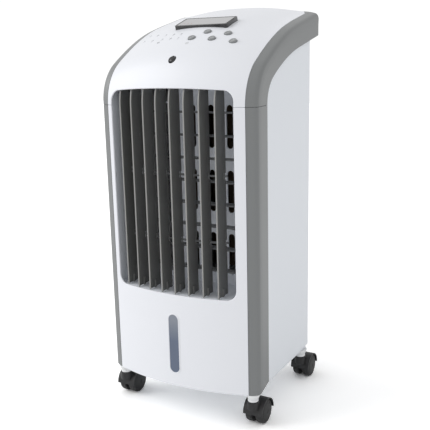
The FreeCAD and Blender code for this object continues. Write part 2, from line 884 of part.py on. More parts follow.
def duct_openings():
    """The tall air outlet and three columns of slots beside it."""
    foot = SHELF_TOP + d.outlet_margin
    top = DUCT_TOP - d.outlet_margin
    loops = [rounded(d.outlet_left, foot, d.outlet_right, top, d.outlet_margin / 2)]
    low = SHELF_TOP + d.slot_margin
    rise = (DUCT_TOP - d.slot_head_margin - low + d.slot_web) / SLOT_ROWS
    for column in range(SLOT_COLUMNS):
        x = d.slot_left + d.slot_pitch * column
        for level in range(SLOT_ROWS):
            z = low + rise * level
            loops.append(slot(x, z, z + rise - d.slot_web, d.slot_half_width))
    return loops


def louvre_blade(index, x, y):
    """Upright blade whose front follows the bowed nose, on two pivot pins."""
    node = Node(f"louvre_blade_{index + 1}")
    front = y - d.blade_chord / 2
    back = front + d.blade_chord
    foot = SHELF_TOP + d.blade_end_gap
    top = DUCT_TOP - d.blade_end_gap
    curve = d.nose_radius + bow_at(x) - d.blade_setback
    rise = top - SPLIT
    shoulder = NOSE_Y - root(curve * curve - rise * rise)
    outline = [(front, foot), (back, foot), (back, top), (shoulder, top, curve), (front, SPLIT)]
    node.pad([outline], d.blade_wall, plane="YZ", at=x - d.blade_wall / 2)
    pin_y = y + d.link_offset
    for height in (LINK_LOW, LINK_HIGH):
        low = height - d.link_notch / 2
        notch = rectangle(pin_y - d.link_half_width * 2, low, back + d.blade_wall, low + d.link_notch)
        node.pocket([notch], d.blade_wall * 3, plane="YZ", at=x + d.blade_wall * 1.5)
        node.pad([Circle(x, pin_y, d.link_pin)], d.link_notch + PIN_SPARE * 2, at=low - PIN_SPARE)
    knuckle = [Circle(x, y, d.blade_knuckle)]
    node.pad(knuckle, d.blade_knuckle * 4, at=foot)
    node.pad(knuckle, d.blade_knuckle * 3, at=top - d.blade_knuckle * 3)
    pin = [Circle(x, y, d.pivot_radius)]
    node.pad(pin, foot - PIN_FOOT, at=PIN_FOOT)
    node.pad(pin, d.blade_end_gap + d.duct_wall, at=top)
    return node


def link_y(x):
    return FRONT - bow_at(x) + d.blade_setback + d.blade_chord / 2 + d.link_offset


def louvre_link_rods():
    """Two bowed rods that tie the blades' rear pins together."""
    node = Node("louvre_link_rods")
    spots = blade_spots()
    left = spots[0][0] - d.link_half_width * 2
    right = spots[-1][0] + d.link_half_width * 2
    half = d.link_half_width
    outline = [
        (left, link_y(left) - half, BOW_RADIUS),
        (right, link_y(right) - half),
        (right, link_y(right) + half, -BOW_RADIUS),
        (left, link_y(left) + half),
    ]
    holes = [Circle(x, link_y(x), d.link_pin + d.running_gap) for x, _ in spots]
    for height in (LINK_LOW, LINK_HIGH):
        node.pad([outline] + holes, d.link_thickness, at=height - d.link_thickness / 2)
    return node


def vane(index, z):
    """Level vane on a through axle, with a pin in a notch for the link."""
    node = Node(f"vane_{index + 1}")
    half = d.duct_half_width - d.blade_end_gap / 2
    chord = d.vane_chord / 2
    wall = d.vane_wall / 2
    blade = rectangle(VANE_Y - chord, z - wall, VANE_Y + chord, z + wall)
    node.pad([blade], half * 2, plane="YZ", at=-half)
    node.pad([Circle(VANE_Y, z, d.pivot_radius)], DUCT_OUT * 2, plane="YZ", at=-DUCT_OUT)
    place = d.vane_link_place
    pin_y = VANE_Y + d.vane_link_offset
    gap = d.link_half_width * 2
    notch = rectangle(place - gap, pin_y - d.link_half_width * 1.7, place + gap, VANE_Y + chord + wall)
    node.pocket([notch], d.vane_wall * 3, at=z + d.vane_wall * 1.5)
    length = (gap + PIN_SPARE) * 2
    node.pad([Circle(pin_y, z, VANE_PIN)], length, plane="YZ", at=place - gap - PIN_SPARE)
    return node


def vane_link():
    """Upright bar that ties the vanes together."""
    node = Node("vane_link")
    heights = vane_heights()
    pin_y = VANE_Y + d.vane_link_offset
    half = d.link_half_width
    bar = rectangle(pin_y - half, heights[0] - half * 2, pin_y + half, heights[-1] + half * 2)
    holes = [Circle(pin_y, z, VANE_PIN + d.running_gap) for z in heights]
    node.pad([bar] + holes, d.link_thickness, plane="YZ", at=d.vane_link_place - d.link_thickness / 2)
    return node


# ---------------------------------------------------------------- fan and drives


def fan_rotor():
    """Cross-flow drum: discs, straight blades and a shaft at each end."""
    node = Node("fan_rotor")
    foot = (d.fan_place, FAN_Y, FAN_FOOT, 0.0)
    node.pad([Circle(0.0, 0.0, d.fan_radius)], d.fan_disc, frame=foot)
    start = d.fan_radius - d.fan_blade_depth
    half = d.fan_blade_wall / 2
    blade = rectangle(start, -half, d.fan_radius - half, half)
    node.pad([blade], FAN_LENGTH, frame=foot)
    node.ring(d.fan_blades, node.body.Group[-2])
    for share in (1 / 3, 2 / 3, 1.0):
        level = FAN_FOOT + (FAN_LENGTH - d.fan_disc) * share
        node.pad([Circle(0.0, 0.0, d.fan_radius)], d.fan_disc, frame=(d.fan_place, FAN_Y, level, 0.0))
    shaft = [Circle(d.fan_place, FAN_Y, d.shaft_radius)]
    node.pad(shaft, FAN_LENGTH + SHAFT_OVER * 2, at=FAN_FOOT - SHAFT_OVER)
    return node


def fan_motor():
    node = Node("fan_motor")
    node.pad([Circle(d.fan_place, FAN_Y, d.motor_radius)], d.motor_length, at=MOTOR_FOOT)
    bore = [Circle(d.fan_place, FAN_Y, d.shaft_radius + d.running_gap)]
    node.pocket(bore, d.motor_length, at=MOTOR_FOOT + d.motor_length)
    return node


def swing_motor():
    """Small geared motor under the shelf, on the last blade's pivot."""
    node = Node("swing_motor")
    x, y = blade_spots()[-1]
    case = [Circle(x, y, d.swing_motor_radius)]
    node.pad(case, d.swing_motor_length, at=SHELF - d.swing_motor_length)
    bore = [Circle(x, y, d.pivot_radius + d.running_gap)]
    node.pocket(bore, d.duct_wall * 2, at=SHELF)
    return node


# ---------------------------------------------------------------- water side


def tank_outline(inset):
    x = TANK_X - inset
    front = FRONT + d.tank_front + inset
    rear = PANEL_REAR - inset
    return [(-x, front, BOW_RADIUS), (x, front), (x, rear), (-x, rear)]


def water_tank():
    node = Node("water_tank")
    node.pad([tank_outline(Size.of(0.0))], d.tank_top - TANK_FOOT, at=TANK_FOOT)
    node.pocket([tank_outline(d.tank_wall)], d.tank_top - TANK_FOOT - d.tank_wall, at=d.tank_top)
    half = d.handle_half_width
    top = d.tank_top - d.latch_length
    grip = rectangle(-half, PANEL_REAR, half, PANEL_REAR + d.handle_depth)
    node.pad([grip], d.handle_height, at=top - d.handle_height)
    wall = d.tank_wall
    reach = rectangle(-half + wall, PANEL_REAR, half - wall, PANEL_REAR + d.handle_depth - wall)
    node.pocket([reach], d.handle_height - wall, reverse=True, at=top - d.handle_height)
    return node


def tank_latch():
    """Turning catch for the tank, level while open and hanging when it holds the tank."""
    node = Node("tank_latch")
    x = -d.latch_place
    half = d.latch_half_width
    bar = rounded(x - half, LATCH_HEIGHT - half, x + d.latch_length, LATCH_HEIGHT + half, half / 2)
    front = PANEL_REAR + d.seam_gap
    node.pad([bar], d.latch_thickness, plane="XZ", at=front + d.latch_thickness)
    pin = [Circle(x, LATCH_HEIGHT, d.pivot_radius)]
    node.pad(pin, d.shell_wall + d.seam_gap, plane="XZ", at=front)
    return node


def water_pump():
    node = Node("water_pump")
    foot = TANK_FOOT + d.tank_wall * 2
    half = d.pump_half
    x = d.pump_place
    body = rectangle(x - half, d.pump_depth - half, x + half, d.pump_depth + half)
    node.pad([body], d.pump_length, at=foot)
    return node


def water_riser_tube():
    node = Node("water_riser_tube")
    foot = TANK_FOOT + d.tank_wall * 2 + d.pump_length
    top = DRIP_FOOT + d.drip_height / 2
    ring = [Circle(HOSE_X, d.pump_depth, d.hose_radius), Circle(HOSE_X, d.pump_depth, d.hose_radius / 2)]
    node.pad(ring, top - foot, at=foot)
    return node


def drip_tray():
    """Trough over the pad with a row of drip holes."""
    node = Node("drip_tray")
    x = DUCT_OUT
    front = d.pad_front
    rear = front + d.pad_thickness
    node.pad([rectangle(-x, front, x, rear)], d.drip_height, at=DRIP_FOOT)
    wall = d.drip_wall
    inside = rectangle(-x + wall, front + wall, x - wall, rear - wall)
    node.pocket([inside], d.drip_height - wall, at=DRIP_FOOT + d.drip_height)
    hose = [Circle(HOSE_X, d.pump_depth, d.hose_radius + d.seam_gap)]
    node.pocket(hose, wall * 3, at=DRIP_FOOT + wall * 2)
    middle = front + d.pad_thickness / 2
    first = -(DRIP_HOLES // 2)
    steps = range(first, first + DRIP_HOLES)
    holes = [Circle(d.drip_pitch * step, middle, d.drip_hole) for step in steps]
    node.pocket(holes, wall * 3, at=DRIP_FOOT + wall * 2)
    return node


def cooling_pad():
    node = Node("cooling_pad")
    x = d.pad_half_width
    gap = d.seam_gap
    block = rectangle(-x, d.pad_front + gap, HOSE_X - d.hose_radius * 1.5, d.pad_front + d.pad_thickness)
    foot = SHELF_TOP + gap
    node.pad([block], DRIP_FOOT - gap - foot, at=foot)
    return node


def rear_filter_frame():
    """Lift-off intake grille with level ribs."""
    node = Node("rear_filter_frame")
    gap = d.seam_gap * 2
    half = d.filter_half_width - gap
    low = FILTER_FOOT + gap
    high = FILTER_TOP - gap
    rail = d.filter_rib * 1.4
    outer = rectangle(-half, low, half, high)
    inner = rectangle(-half + rail, low + rail, half - rail, high - rail)
    where = {"plane": "XZ", "at": PANEL_REAR + d.shell_wall}
    node.pad([outer, inner], d.filter_depth, **where)
    first = low + rail + d.filter_rib
    bar = rectangle(-half + rail / 2, first, half - rail / 2, first + d.filter_rib)
    thin = {"plane": "XZ", "at": PANEL_REAR + d.shell_wall - d.seam_gap}
    node.pad([bar], d.filter_depth / 2, **thin)
    pitch = (high - rail - d.filter_rib * 2 - first) / (d.filter_ribs - 1)
    node.row(pitch, d.filter_ribs, "XY")
    return node


def dust_filter():
    node = Node("dust_filter")
    half = d.filter_half_width - d.filter_rib
    front = PANEL_REAR + d.shell_wall - d.filter_depth - d.seam_gap
    sheet = rectangle(-half, FILTER_FOOT + d.filter_rib, half, FILTER_TOP - d.filter_rib)
    node.pad([sheet], d.shell_wall, plane="XZ", at=front)
    return node


def level_window():
    """Clear sight window in the front, with a thin raised rim."""
    node = Node("level_window")
    zero = Size.of(0.0)
    rim = d.window_rim
    low = WINDOW_FOOT
    high = WINDOW_TOP
    half = d.window_half_width
    face = FRONT - d.front_bow
    gap = d.seam_gap
    body = slot(zero, low + gap, high - gap, half - gap)
    node.pad([body], d.window_proud + d.shell_wall + gap * 3, plane="XZ", at=face + d.shell_wall + gap * 3)
    flange = slot(zero, low - rim, high + rim, half + rim)
    node.pad([flange], d.shell_wall / 2, plane="XZ", at=face + d.shell_wall * 1.5 + gap * 2)
    return node


def mains_gland():
    node = Node("mains_gland")
    x = d.gland_place
    z = GLAND_Z
    rear = PANEL_REAR
    shank = d.gland_radius - d.shell_wall - d.seam_gap
    node.pad([Circle(x, z, d.gland_radius)], d.shell_wall * 1.5, plane="XZ", at=rear + d.shell_wall * 1.5)
    node.pad([Circle(x, z, shank)], d.shell_wall * 3, plane="XZ", at=rear)
    node.pocket([Circle(x, z, d.gland_bore)], d.shell_wall * 6, plane="XZ", at=rear - d.shell_wall * 4)
    return node


# ---------------------------------------------------------------- controls


def display_bezel():
    node = Node("display_bezel")
    block = display_loop(Size.of(0.0), d.display_proud, d.display_sink)
    node.pad([block], d.display_length, frame=display_frame(Size.of(0.0)))
    rim = d.display_frame
    recess = display_loop(-rim, d.display_proud * 2, d.lens_thickness - d.display_proud)
    tip = NOSE_TIP + d.display_turn
    frame = crown_frame(tip, rim - d.display_length / 2)
    node.pocket([recess], d.display_length - rim * 2, reverse=True, frame=frame)
    return node


def display_lens():
    node = Node("display_lens")
    rim = d.display_frame + d.seam_gap / 2
    lens = display_loop(-rim, d.display_proud, d.lens_thickness - d.display_proud)
    tip = NOSE_TIP + d.display_turn
    frame = crown_frame(tip, rim - d.display_length / 2)
    node.pad([lens], d.display_length - rim * 2, frame=frame)
    return node


def ir_receiver_lens():
    node = Node("ir_receiver_lens")
    surface = -(d.nose_radius + bow_at(d.receiver_place))
    radius = d.receiver_radius - d.seam_gap
    body = rectangle(Size.of(0.0), surface - d.window_proud, radius, surface + d.shell_wall * 2)
    node.revolve([body], axis="V_Axis", frame=nose_frame(d.receiver_angle, d.receiver_place))
    return node


def control_button(label, x, tip):
    """Round button with a flange that keeps it under the cover."""
    node = Node(label)
    surface = -(d.crown_radius + bow_at(x))
    slope = x / root(BOW_RADIUS * BOW_RADIUS - x * x)
    keep = surface + d.shell_wall + d.seam_gap * 3 + slope * (d.button_radius + d.button_flange)
    zero = Size.of(0.0)
    low = keep + d.button_flange
    profile = [
        (zero, surface - d.button_proud),
        (d.button_radius, surface - d.button_proud),
        (d.button_radius, keep),
        (d.button_radius + d.button_flange, keep),
        (d.button_radius + d.button_flange, low),
        (zero, low),
    ]
    node.revolve([profile], axis="V_Axis", frame=crown_frame(tip, x=x))
    return node


def control_board():
    node = Node("control_board")
    tip = NOSE_TIP + d.display_turn * 0.8
    depth = d.board_drop - d.crown_radius
    board = rectangle(-d.board_half_width, depth, d.board_half_width, depth + d.board_thickness)
    node.pad([board], d.board_length, frame=crown_frame(tip, -d.board_length / 2))
    return node


# ---------------------------------------------------------------- casters


def caster_spots():
    """Name, x and stem depth of each caster."""
    spots = []
    for end, y in (("front", FRONT + d.caster_front), ("rear", CASTER_REAR)):
        for side, x in (("left", -d.caster_place), ("right", d.caster_place)):
            spots.append((f"caster_{end}_{side}", x, y))
    return spots


def caster_sockets():
    node = Node("caster_sockets")
    cups = [Circle(x, y, d.socket_radius) for _, x, y in caster_spots()]
    node.pad(cups, d.socket_height, at=SOCKET_FOOT)
    bores = [Circle(x, y, d.stem_radius + d.running_gap) for _, x, y in caster_spots()]
    node.pocket(bores, d.socket_height - d.stem_end_gap, reverse=True, at=SOCKET_FOOT)
    return node


def caster_fork(label, x, y):
    """Stem, hood and centre web that carry the twin wheels."""
    node = Node(label + "_fork")
    wheel_y = y + d.caster_trail
    axle_z = d.wheel_radius
    inner = d.wheel_radius + d.hood_gap
    outer = inner + d.hood_wall
    half = d.wheel_half_width + d.hood_gap
    boss_top = SOCKET_FOOT - d.stem_end_gap / 2
    boss = d.socket_radius - d.hood_wall
    node.pad([Circle(x, y, boss)], boss_top - axle_z - inner / 2, at=axle_z + inner / 2)
    node.pocket([Circle(wheel_y, axle_z, inner)], half * 2, plane="YZ", at=x + half)
    hood = [
        (wheel_y + outer, axle_z, outer),
        (wheel_y - outer, axle_z),
        (wheel_y - inner, axle_z, -inner),
        (wheel_y + inner, axle_z),
    ]
    node.pad([hood], half * 2, plane="YZ", at=x - half)
    web = d.axle_radius * 2
    plate = [
        (wheel_y - web, axle_z, web),
        (wheel_y + web, axle_z),
        (wheel_y + web, axle_z + inner),
        (wheel_y - web, axle_z + inner),
    ]
    node.pad([plate], d.web_half_width * 2, plane="YZ", at=x - d.web_half_width)
    stem = boss_top + d.stem_end_gap / 2 + d.socket_height - d.stem_end_gap * 2
    node.pad([Circle(x, y, d.stem_radius)], stem - boss_top, at=boss_top)
    axle = [Circle(wheel_y, axle_z, d.axle_radius + d.running_gap)]
    node.pocket(axle, d.web_half_width * 4, plane="YZ", at=x + d.web_half_width * 2)
    return node


def caster_wheels(label, x, y):
    """Two wheels on one axle, turned as a single profile."""
    node = Node(label + "_wheels")
    far = d.wheel_half_width
    near = d.wheel_gap
    rim = d.wheel_radius
    turn = d.wheel_round
    zero = Size.of(0.0)
    profile = [
        (-far, zero),
        (far, zero),
        (far, rim - turn, turn),
        (far - turn, rim),
        (near + turn, rim, turn),
        (near, rim - turn),
        (near, d.axle_radius),
        (-near, d.axle_radius),
        (-near, rim - turn, turn),
        (-near - turn, rim),
        (-far + turn, rim, turn),
        (-far, rim - turn),
    ]
    node.revolve([profile], frame=(x, y + d.caster_trail, d.wheel_radius, 0.0))
    return node


# ---------------------------------------------------------------- build, check and write


def build_all():
    """Make every piece of the cooler and return the nodes."""
    nodes = [
        front_panel(),
        top_cover(),
        lower_trim("left_trim_lower", -1),
        lower_trim("right_trim_lower", 1),
        upper_trim("left_trim_upper", -1),
        upper_trim("right_trim_upper", 1),
        side_panel("left_side_panel", -1),
        side_panel("right_side_panel", 1),
        rear_panel(),
        base_chassis(),
        display_bezel(),
        display_lens(),
        ir_receiver_lens(),
        level_window(),
        control_board(),
        outlet_duct(),
        louvre_link_rods(),
        vane_link(),
        fan_rotor(),
        fan_motor(),
        swing_motor(),
        water_tank(),
        tank_latch(),
        water_pump(),
        water_riser_tube(),
        drip_tray(),
        cooling_pad(),
        rear_filter_frame(),
        dust_filter(),
        mains_gland(),
        caster_sockets(),
    ]
    nodes += [control_button(label, x, tip) for label, x, tip in button_places()]
    nodes += [louvre_blade(index, x, y) for index, (x, y) in enumerate(blade_spots())]
    nodes += [vane(index, z) for index, z in enumerate(vane_heights())]
    for label, x, y in caster_spots():
        nodes.append(caster_fork(label, x, y))
        nodes.append(caster_wheels(label, x, y))
    return nodes


def check(nodes):
    """Stop if any object failed to compute or any piece has no sound shape."""
    faults = []
    for item in DOC.Objects:
        if "Invalid" in item.State or "Error" in item.State:
            faults.append(f"{item.Name}: {item.State}")
    for node in nodes:
        shape = node.body.Shape
        if shape.isNull() or not shape.isValid() or not shape.Solids:
            faults.append(f"{node.label}: no sound shape")
    if faults:
        raise RuntimeError("; ".join(faults))


def main():
    nodes = build_all()
    DOC.recompute()
    check(nodes)
    os.makedirs("parts", exist_ok=True)
    for node in nodes:
        node.body.Shape.exportStep(f"parts/{node.label}.step")
    print(len(nodes), "pieces written")


main()
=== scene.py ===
"""Looks of a floor-standing evaporative cooler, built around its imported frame.

Metres throughout, +Z up, front towards -Y, origin on the floor below the middle of the body.
"""

import json
import logging
import math
from dataclasses import dataclass, field
from enum import Enum
from typing import Iterable

import bmesh
import bpy
from bmesh.types import BMesh, BMVert
from mathutils import Matrix, Vector

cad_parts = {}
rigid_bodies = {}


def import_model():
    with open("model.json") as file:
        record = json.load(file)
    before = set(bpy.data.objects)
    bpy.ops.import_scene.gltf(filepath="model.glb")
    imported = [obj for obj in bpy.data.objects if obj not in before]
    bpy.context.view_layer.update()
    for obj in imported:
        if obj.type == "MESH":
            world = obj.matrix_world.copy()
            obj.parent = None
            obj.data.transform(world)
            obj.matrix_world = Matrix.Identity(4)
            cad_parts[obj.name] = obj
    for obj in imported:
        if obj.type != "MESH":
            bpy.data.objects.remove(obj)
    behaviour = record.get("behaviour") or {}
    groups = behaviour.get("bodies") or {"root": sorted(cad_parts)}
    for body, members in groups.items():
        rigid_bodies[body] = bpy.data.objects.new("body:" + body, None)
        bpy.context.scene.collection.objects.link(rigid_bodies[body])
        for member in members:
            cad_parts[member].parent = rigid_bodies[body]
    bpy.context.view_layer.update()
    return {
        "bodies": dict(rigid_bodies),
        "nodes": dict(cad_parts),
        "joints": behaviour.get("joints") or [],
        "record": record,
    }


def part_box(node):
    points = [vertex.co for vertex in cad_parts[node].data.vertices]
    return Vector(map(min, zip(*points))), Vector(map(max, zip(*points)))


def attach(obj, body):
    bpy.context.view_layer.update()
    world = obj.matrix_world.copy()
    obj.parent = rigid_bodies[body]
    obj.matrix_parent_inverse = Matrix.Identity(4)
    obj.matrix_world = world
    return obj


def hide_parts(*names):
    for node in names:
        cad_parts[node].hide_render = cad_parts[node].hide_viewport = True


LOG = logging.getLogger("cooler")
HOUSING = "housing"

Colour = tuple[float, float, float, float]
Loop = list[tuple[float, float]]

DUST_TONE: Colour = (0.62, 0.61, 0.58, 1.0)
COAT_ROUGHNESS = 0.12


class Slot(Enum):
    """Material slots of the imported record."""

    WHITE = "white_shell"
    TRIM = "grey_trim"
    LOUVRE = "dark_louvre"
    BLACK = "black_plastic"
    KEY = "key_grey"
    LENS = "smoked_lens"
    WINDOW = "clear_window"
    TANK = "tank_plastic"
    STEEL = "motor_steel"
    PAD = "pad_fibre"
    NET = "filter_mesh"


class Side(Enum):
    """Left and right of the cooler, seen from its front."""

    LEFT = -1
    RIGHT = 1


# ---------------------------------------------------------------- effects shared by finishes


class Effects:
    """Shader node groups that several finishes share, each made once."""

    @staticmethod
    def _start(name: str, inputs: dict[str, tuple[str, float]], outputs: dict[str, str]) -> tuple:
        """Make an empty group with its sockets.

        Args:
            name: Name of the group.
            inputs: Socket type and default value of each input by name.
            outputs: Socket type of each output by name.

        Returns:
            The group, its input node and its output node.
        """
        group = bpy.data.node_groups.new(name, "ShaderNodeTree")
        for label, (kind, value) in inputs.items():
            socket = group.interface.new_socket(label, in_out="INPUT", socket_type=kind)
            if kind == "NodeSocketFloat":
                socket.default_value = value
        for label, kind in outputs.items():
            group.interface.new_socket(label, in_out="OUTPUT", socket_type=kind)
        return group, group.nodes.new("NodeGroupInput"), group.nodes.new("NodeGroupOutput")

    @classmethod
    def grain(cls) -> bpy.types.NodeTree:
        """Fine moulding grain.

        Returns:
            A group that gives a height and a small roughness offset.
        """
        name = "MouldingGrain"
        if name in bpy.data.node_groups:
            return bpy.data.node_groups[name]
        inputs = {
            "Vector": ("NodeSocketVector", 0.0),
            "Scale": ("NodeSocketFloat", 900.0),
            "Roughness": ("NodeSocketFloat", 0.4),
            "Spread": ("NodeSocketFloat", 0.08),
        }
        outputs = {"Height": "NodeSocketFloat", "Roughness": "NodeSocketFloat"}
        group, inlet, outlet = cls._start(name, inputs, outputs)
        fine = group.nodes.new("ShaderNodeTexNoise")
        fine.inputs["Detail"].default_value = 3.0
        broad = group.nodes.new("ShaderNodeTexNoise")
        broad.inputs["Scale"].default_value = 14.0
        broad.inputs["Detail"].default_value = 2.0
        shift = group.nodes.new("ShaderNodeMath")
        shift.operation = "SUBTRACT"
        shift.inputs[1].default_value = 0.5
        spread = group.nodes.new("ShaderNodeMath")
        spread.operation = "MULTIPLY_ADD"
        link = group.links.new
        link(inlet.outputs["Vector"], fine.inputs["Vector"])
        link(inlet.outputs["Vector"], broad.inputs["Vector"])
        link(inlet.outputs["Scale"], fine.inputs["Scale"])
        link(broad.outputs["Fac"], shift.inputs[0])
        link(shift.outputs[0], spread.inputs[0])
        link(inlet.outputs["Spread"], spread.inputs[1])
        link(inlet.outputs["Roughness"], spread.inputs[2])
        link(fine.outputs["Fac"], outlet.inputs["Height"])
        link(spread.outputs[0], outlet.inputs["Roughness"])
        return group

    @classmethod
    def drift(cls) -> bpy.types.NodeTree:
        """Slow change of tone across a moulding, as pigment and cooling leave it.

        Returns:
            A group that gives a colour between a base tone and a second tone.
        """
        name = "ToneDrift"
        if name in bpy.data.node_groups:
            return bpy.data.node_groups[name]
        inputs = {
            "Vector": ("NodeSocketVector", 0.0),
            "Base": ("NodeSocketColor", 0.0),
            "Second": ("NodeSocketColor", 0.0),
            "Amount": ("NodeSocketFloat", 0.3),
        }
        group, inlet, outlet = cls._start(name, inputs, {"Color": "NodeSocketColor"})
        cloud = group.nodes.new("ShaderNodeTexNoise")
        cloud.inputs["Scale"].default_value = 9.0
        cloud.inputs["Detail"].default_value = 4.0
        amount = group.nodes.new("ShaderNodeMath")
        amount.operation = "MULTIPLY"
        mix = group.nodes.new("ShaderNodeMix")
        mix.data_type = "RGBA"
        link = group.links.new
        link(inlet.outputs["Vector"], cloud.inputs["Vector"])
        link(cloud.outputs["Fac"], amount.inputs[0])
        link(inlet.outputs["Amount"], amount.inputs[1])
        link(amount.outputs[0], mix.inputs["Factor"])
        link(inlet.outputs["Base"], mix.inputs["A"])
        link(inlet.outputs["Second"], mix.inputs["B"])
        link(mix.outputs["Result"], outlet.inputs["Color"])
        return group

    @classmethod
    def dust(cls) -> bpy.types.NodeTree:
        """Thin dust on faces that look up, in loose patches.

        Returns:
            A group that lays a dust colour over another colour.
        """
        name = "DustVeil"
        if name in bpy.data.node_groups:
            return bpy.data.node_groups[name]
        inputs = {
            "Vector": ("NodeSocketVector", 0.0),
            "Color": ("NodeSocketColor", 0.0),
            "Dust": ("NodeSocketColor", 0.0),
            "Amount": ("NodeSocketFloat", 0.1),
        }
        group, inlet, outlet = cls._start(name, inputs, {"Color": "NodeSocketColor"})
        facing = group.nodes.new("ShaderNodeNewGeometry")
        split = group.nodes.new("ShaderNodeSeparateXYZ")
        patch = group.nodes.new("ShaderNodeTexNoise")
        patch.inputs["Scale"].default_value = 60.0
        patch.inputs["Detail"].default_value = 5.0
        upward = group.nodes.new("ShaderNodeMath")
        upward.operation = "MULTIPLY"
        upward.use_clamp = True
        amount = group.nodes.new("ShaderNodeMath")
        amount.operation = "MULTIPLY"
        mix = group.nodes.new("ShaderNodeMix")
        mix.data_type = "RGBA"
        link = group.links.new
        link(inlet.outputs["Vector"], patch.inputs["Vector"])
        link(facing.outputs["Normal"], split.inputs["Vector"])
        link(split.outputs["Z"], upward.inputs[0])
        link(patch.outputs["Fac"], upward.inputs[1])
        link(upward.outputs[0], amount.inputs[0])
        link(inlet.outputs["Amount"], amount.inputs[1])
        link(amount.outputs[0], mix.inputs["Factor"])
        link(inlet.outputs["Color"], mix.inputs["A"])
        link(inlet.outputs["Dust"], mix.inputs["B"])
        link(mix.outputs["Result"], outlet.inputs["Color"])
        return group


# ---------------------------------------------------------------- finishes


@dataclass(frozen=True)
class Moulding:
    """Injection-moulded plastic, or another opaque finish with a fine grain."""

    name: str
    base: Colour
    second: Colour
    roughness: float = 0.4
    drift: float = 0.3
    grain_scale: float = 900.0
    grain_depth: float = 0.00002
    dust: float = 0.04
    coat: float = 0.0
    metallic: float = 0.0

    def material(self) -> bpy.types.Material:
        """Return the finish's material, made on first use."""
        if self.name in bpy.data.materials:
            return bpy.data.materials[self.name]
        material = bpy.data.materials.new(self.name)
        material.use_nodes = True
        tree = material.node_tree
        shader = tree.nodes["Principled BSDF"]
        place = tree.nodes.new("ShaderNodeTexCoord")
        grain = tree.nodes.new("ShaderNodeGroup")
        grain.node_tree = Effects.grain()
        grain.inputs["Scale"].default_value = self.grain_scale
        grain.inputs["Roughness"].default_value = self.roughness
        drift = tree.nodes.new("ShaderNodeGroup")
        drift.node_tree = Effects.drift()
        drift.inputs["Base"].default_value = self.base
        drift.inputs["Second"].default_value = self.second
        drift.inputs["Amount"].default_value = self.drift
        dust = tree.nodes.new("ShaderNodeGroup")
        dust.node_tree = Effects.dust()
        dust.inputs["Dust"].default_value = DUST_TONE
        dust.inputs["Amount"].default_value = self.dust
        bump = tree.nodes.new("ShaderNodeBump")
        bump.inputs["Distance"].default_value = self.grain_depth
        bump.inputs["Strength"].default_value = 0.6
        shader.inputs["Metallic"].default_value = self.metallic
        shader.inputs["Coat Weight"].default_value = self.coat
        shader.inputs["Coat Roughness"].default_value = COAT_ROUGHNESS
        link = tree.links.new
        for group in (grain, drift, dust):
            link(place.outputs["Object"], group.inputs["Vector"])
        link(drift.outputs["Color"], dust.inputs["Color"])
        link(dust.outputs["Color"], shader.inputs["Base Color"])
        link(grain.outputs["Roughness"], shader.inputs["Roughness"])
        link(grain.outputs["Height"], bump.inputs["Height"])
        link(bump.outputs["Normal"], shader.inputs["Normal"])
        return material


@dataclass(frozen=True)
class Clear:
    """See-through or milky plastic, tinted from its foot to its top."""

    name: str
    low: Colour
    high: Colour
    level: float = 0.1
    fade: float = 0.02
    roughness: float = 0.12
    transmission: float = 0.5
    ior: float = 1.45
    grain_scale: float = 260.0
    grain_depth: float = 0.00003

    def material(self) -> bpy.types.Material:
        """Return the finish's material, made on first use."""
        if self.name in bpy.data.materials:
            return bpy.data.materials[self.name]
        material = bpy.data.materials.new(self.name)
        material.use_nodes = True
        tree = material.node_tree
        shader = tree.nodes["Principled BSDF"]
        shader.inputs["Transmission Weight"].default_value = self.transmission
        shader.inputs["IOR"].default_value = self.ior
        place = tree.nodes.new("ShaderNodeTexCoord")
        split = tree.nodes.new("ShaderNodeSeparateXYZ")
        height = tree.nodes.new("ShaderNodeMapRange")
        height.inputs["From Min"].default_value = self.level - self.fade
        height.inputs["From Max"].default_value = self.level + self.fade
        mix = tree.nodes.new("ShaderNodeMix")
        mix.data_type = "RGBA"
        mix.inputs["A"].default_value = self.low
        mix.inputs["B"].default_value = self.high
        grain = tree.nodes.new("ShaderNodeGroup")
        grain.node_tree = Effects.grain()
        grain.inputs["Scale"].default_value = self.grain_scale
        grain.inputs["Roughness"].default_value = self.roughness
        bump = tree.nodes.new("ShaderNodeBump")
        bump.inputs["Distance"].default_value = self.grain_depth
        bump.inputs["Strength"].default_value = 0.4
        link = tree.links.new
        link(place.outputs["Object"], split.inputs["Vector"])
        link(place.outputs["Object"], grain.inputs["Vector"])
        link(split.outputs["Z"], height.inputs["Value"])
        link(height.outputs["Result"], mix.inputs["Factor"])
        link(mix.outputs["Result"], shader.inputs["Base Color"])
        link(grain.outputs["Roughness"], shader.inputs["Roughness"])
        link(grain.outputs["Height"], bump.inputs["Height"])
        link(bump.outputs["Normal"], shader.inputs["Normal"])
        return material


SHELL_WHITE = Moulding(
    "CoverWhite", (0.760, 0.775, 0.815, 1), (0.725, 0.740, 0.780, 1), 0.40, 0.25, coat=0.05
)
SIDE_WHITE = Moulding("SideWhite", (0.755, 0.785, 0.830, 1), (0.72, 0.75, 0.79, 1), 0.42, 0.3)
BAND_GREY = Moulding("BandGrey", (0.188, 0.196, 0.198, 1), (0.168, 0.175, 0.177, 1), 0.36, 0.4, coat=0.1)
LOUVRE_GREY = Moulding("LouvreGrey", (0.135, 0.136, 0.132, 1), (0.115, 0.116, 0.113, 1), 0.42, 0.4)
# Lighter copy of the louvre grey for the blades' front-edge beads: painted highlight where the edges catch
# the light.
LOUVRE_EDGE_HIGHLIGHT = Moulding("LouvreEdge", (0.30, 0.30, 0.29, 1), (0.24, 0.24, 0.235, 1), 0.34, 0.4, coat=0.2)
VANE_GREY = Moulding("VaneGrey", (0.16, 0.165, 0.17, 1), (0.13, 0.135, 0.14, 1), 0.4, 0.4)
DUCT_GREY = Moulding("DuctGrey", (0.86, 0.89, 0.95, 1), (0.80, 0.83, 0.89, 1), 0.38, 0.6)
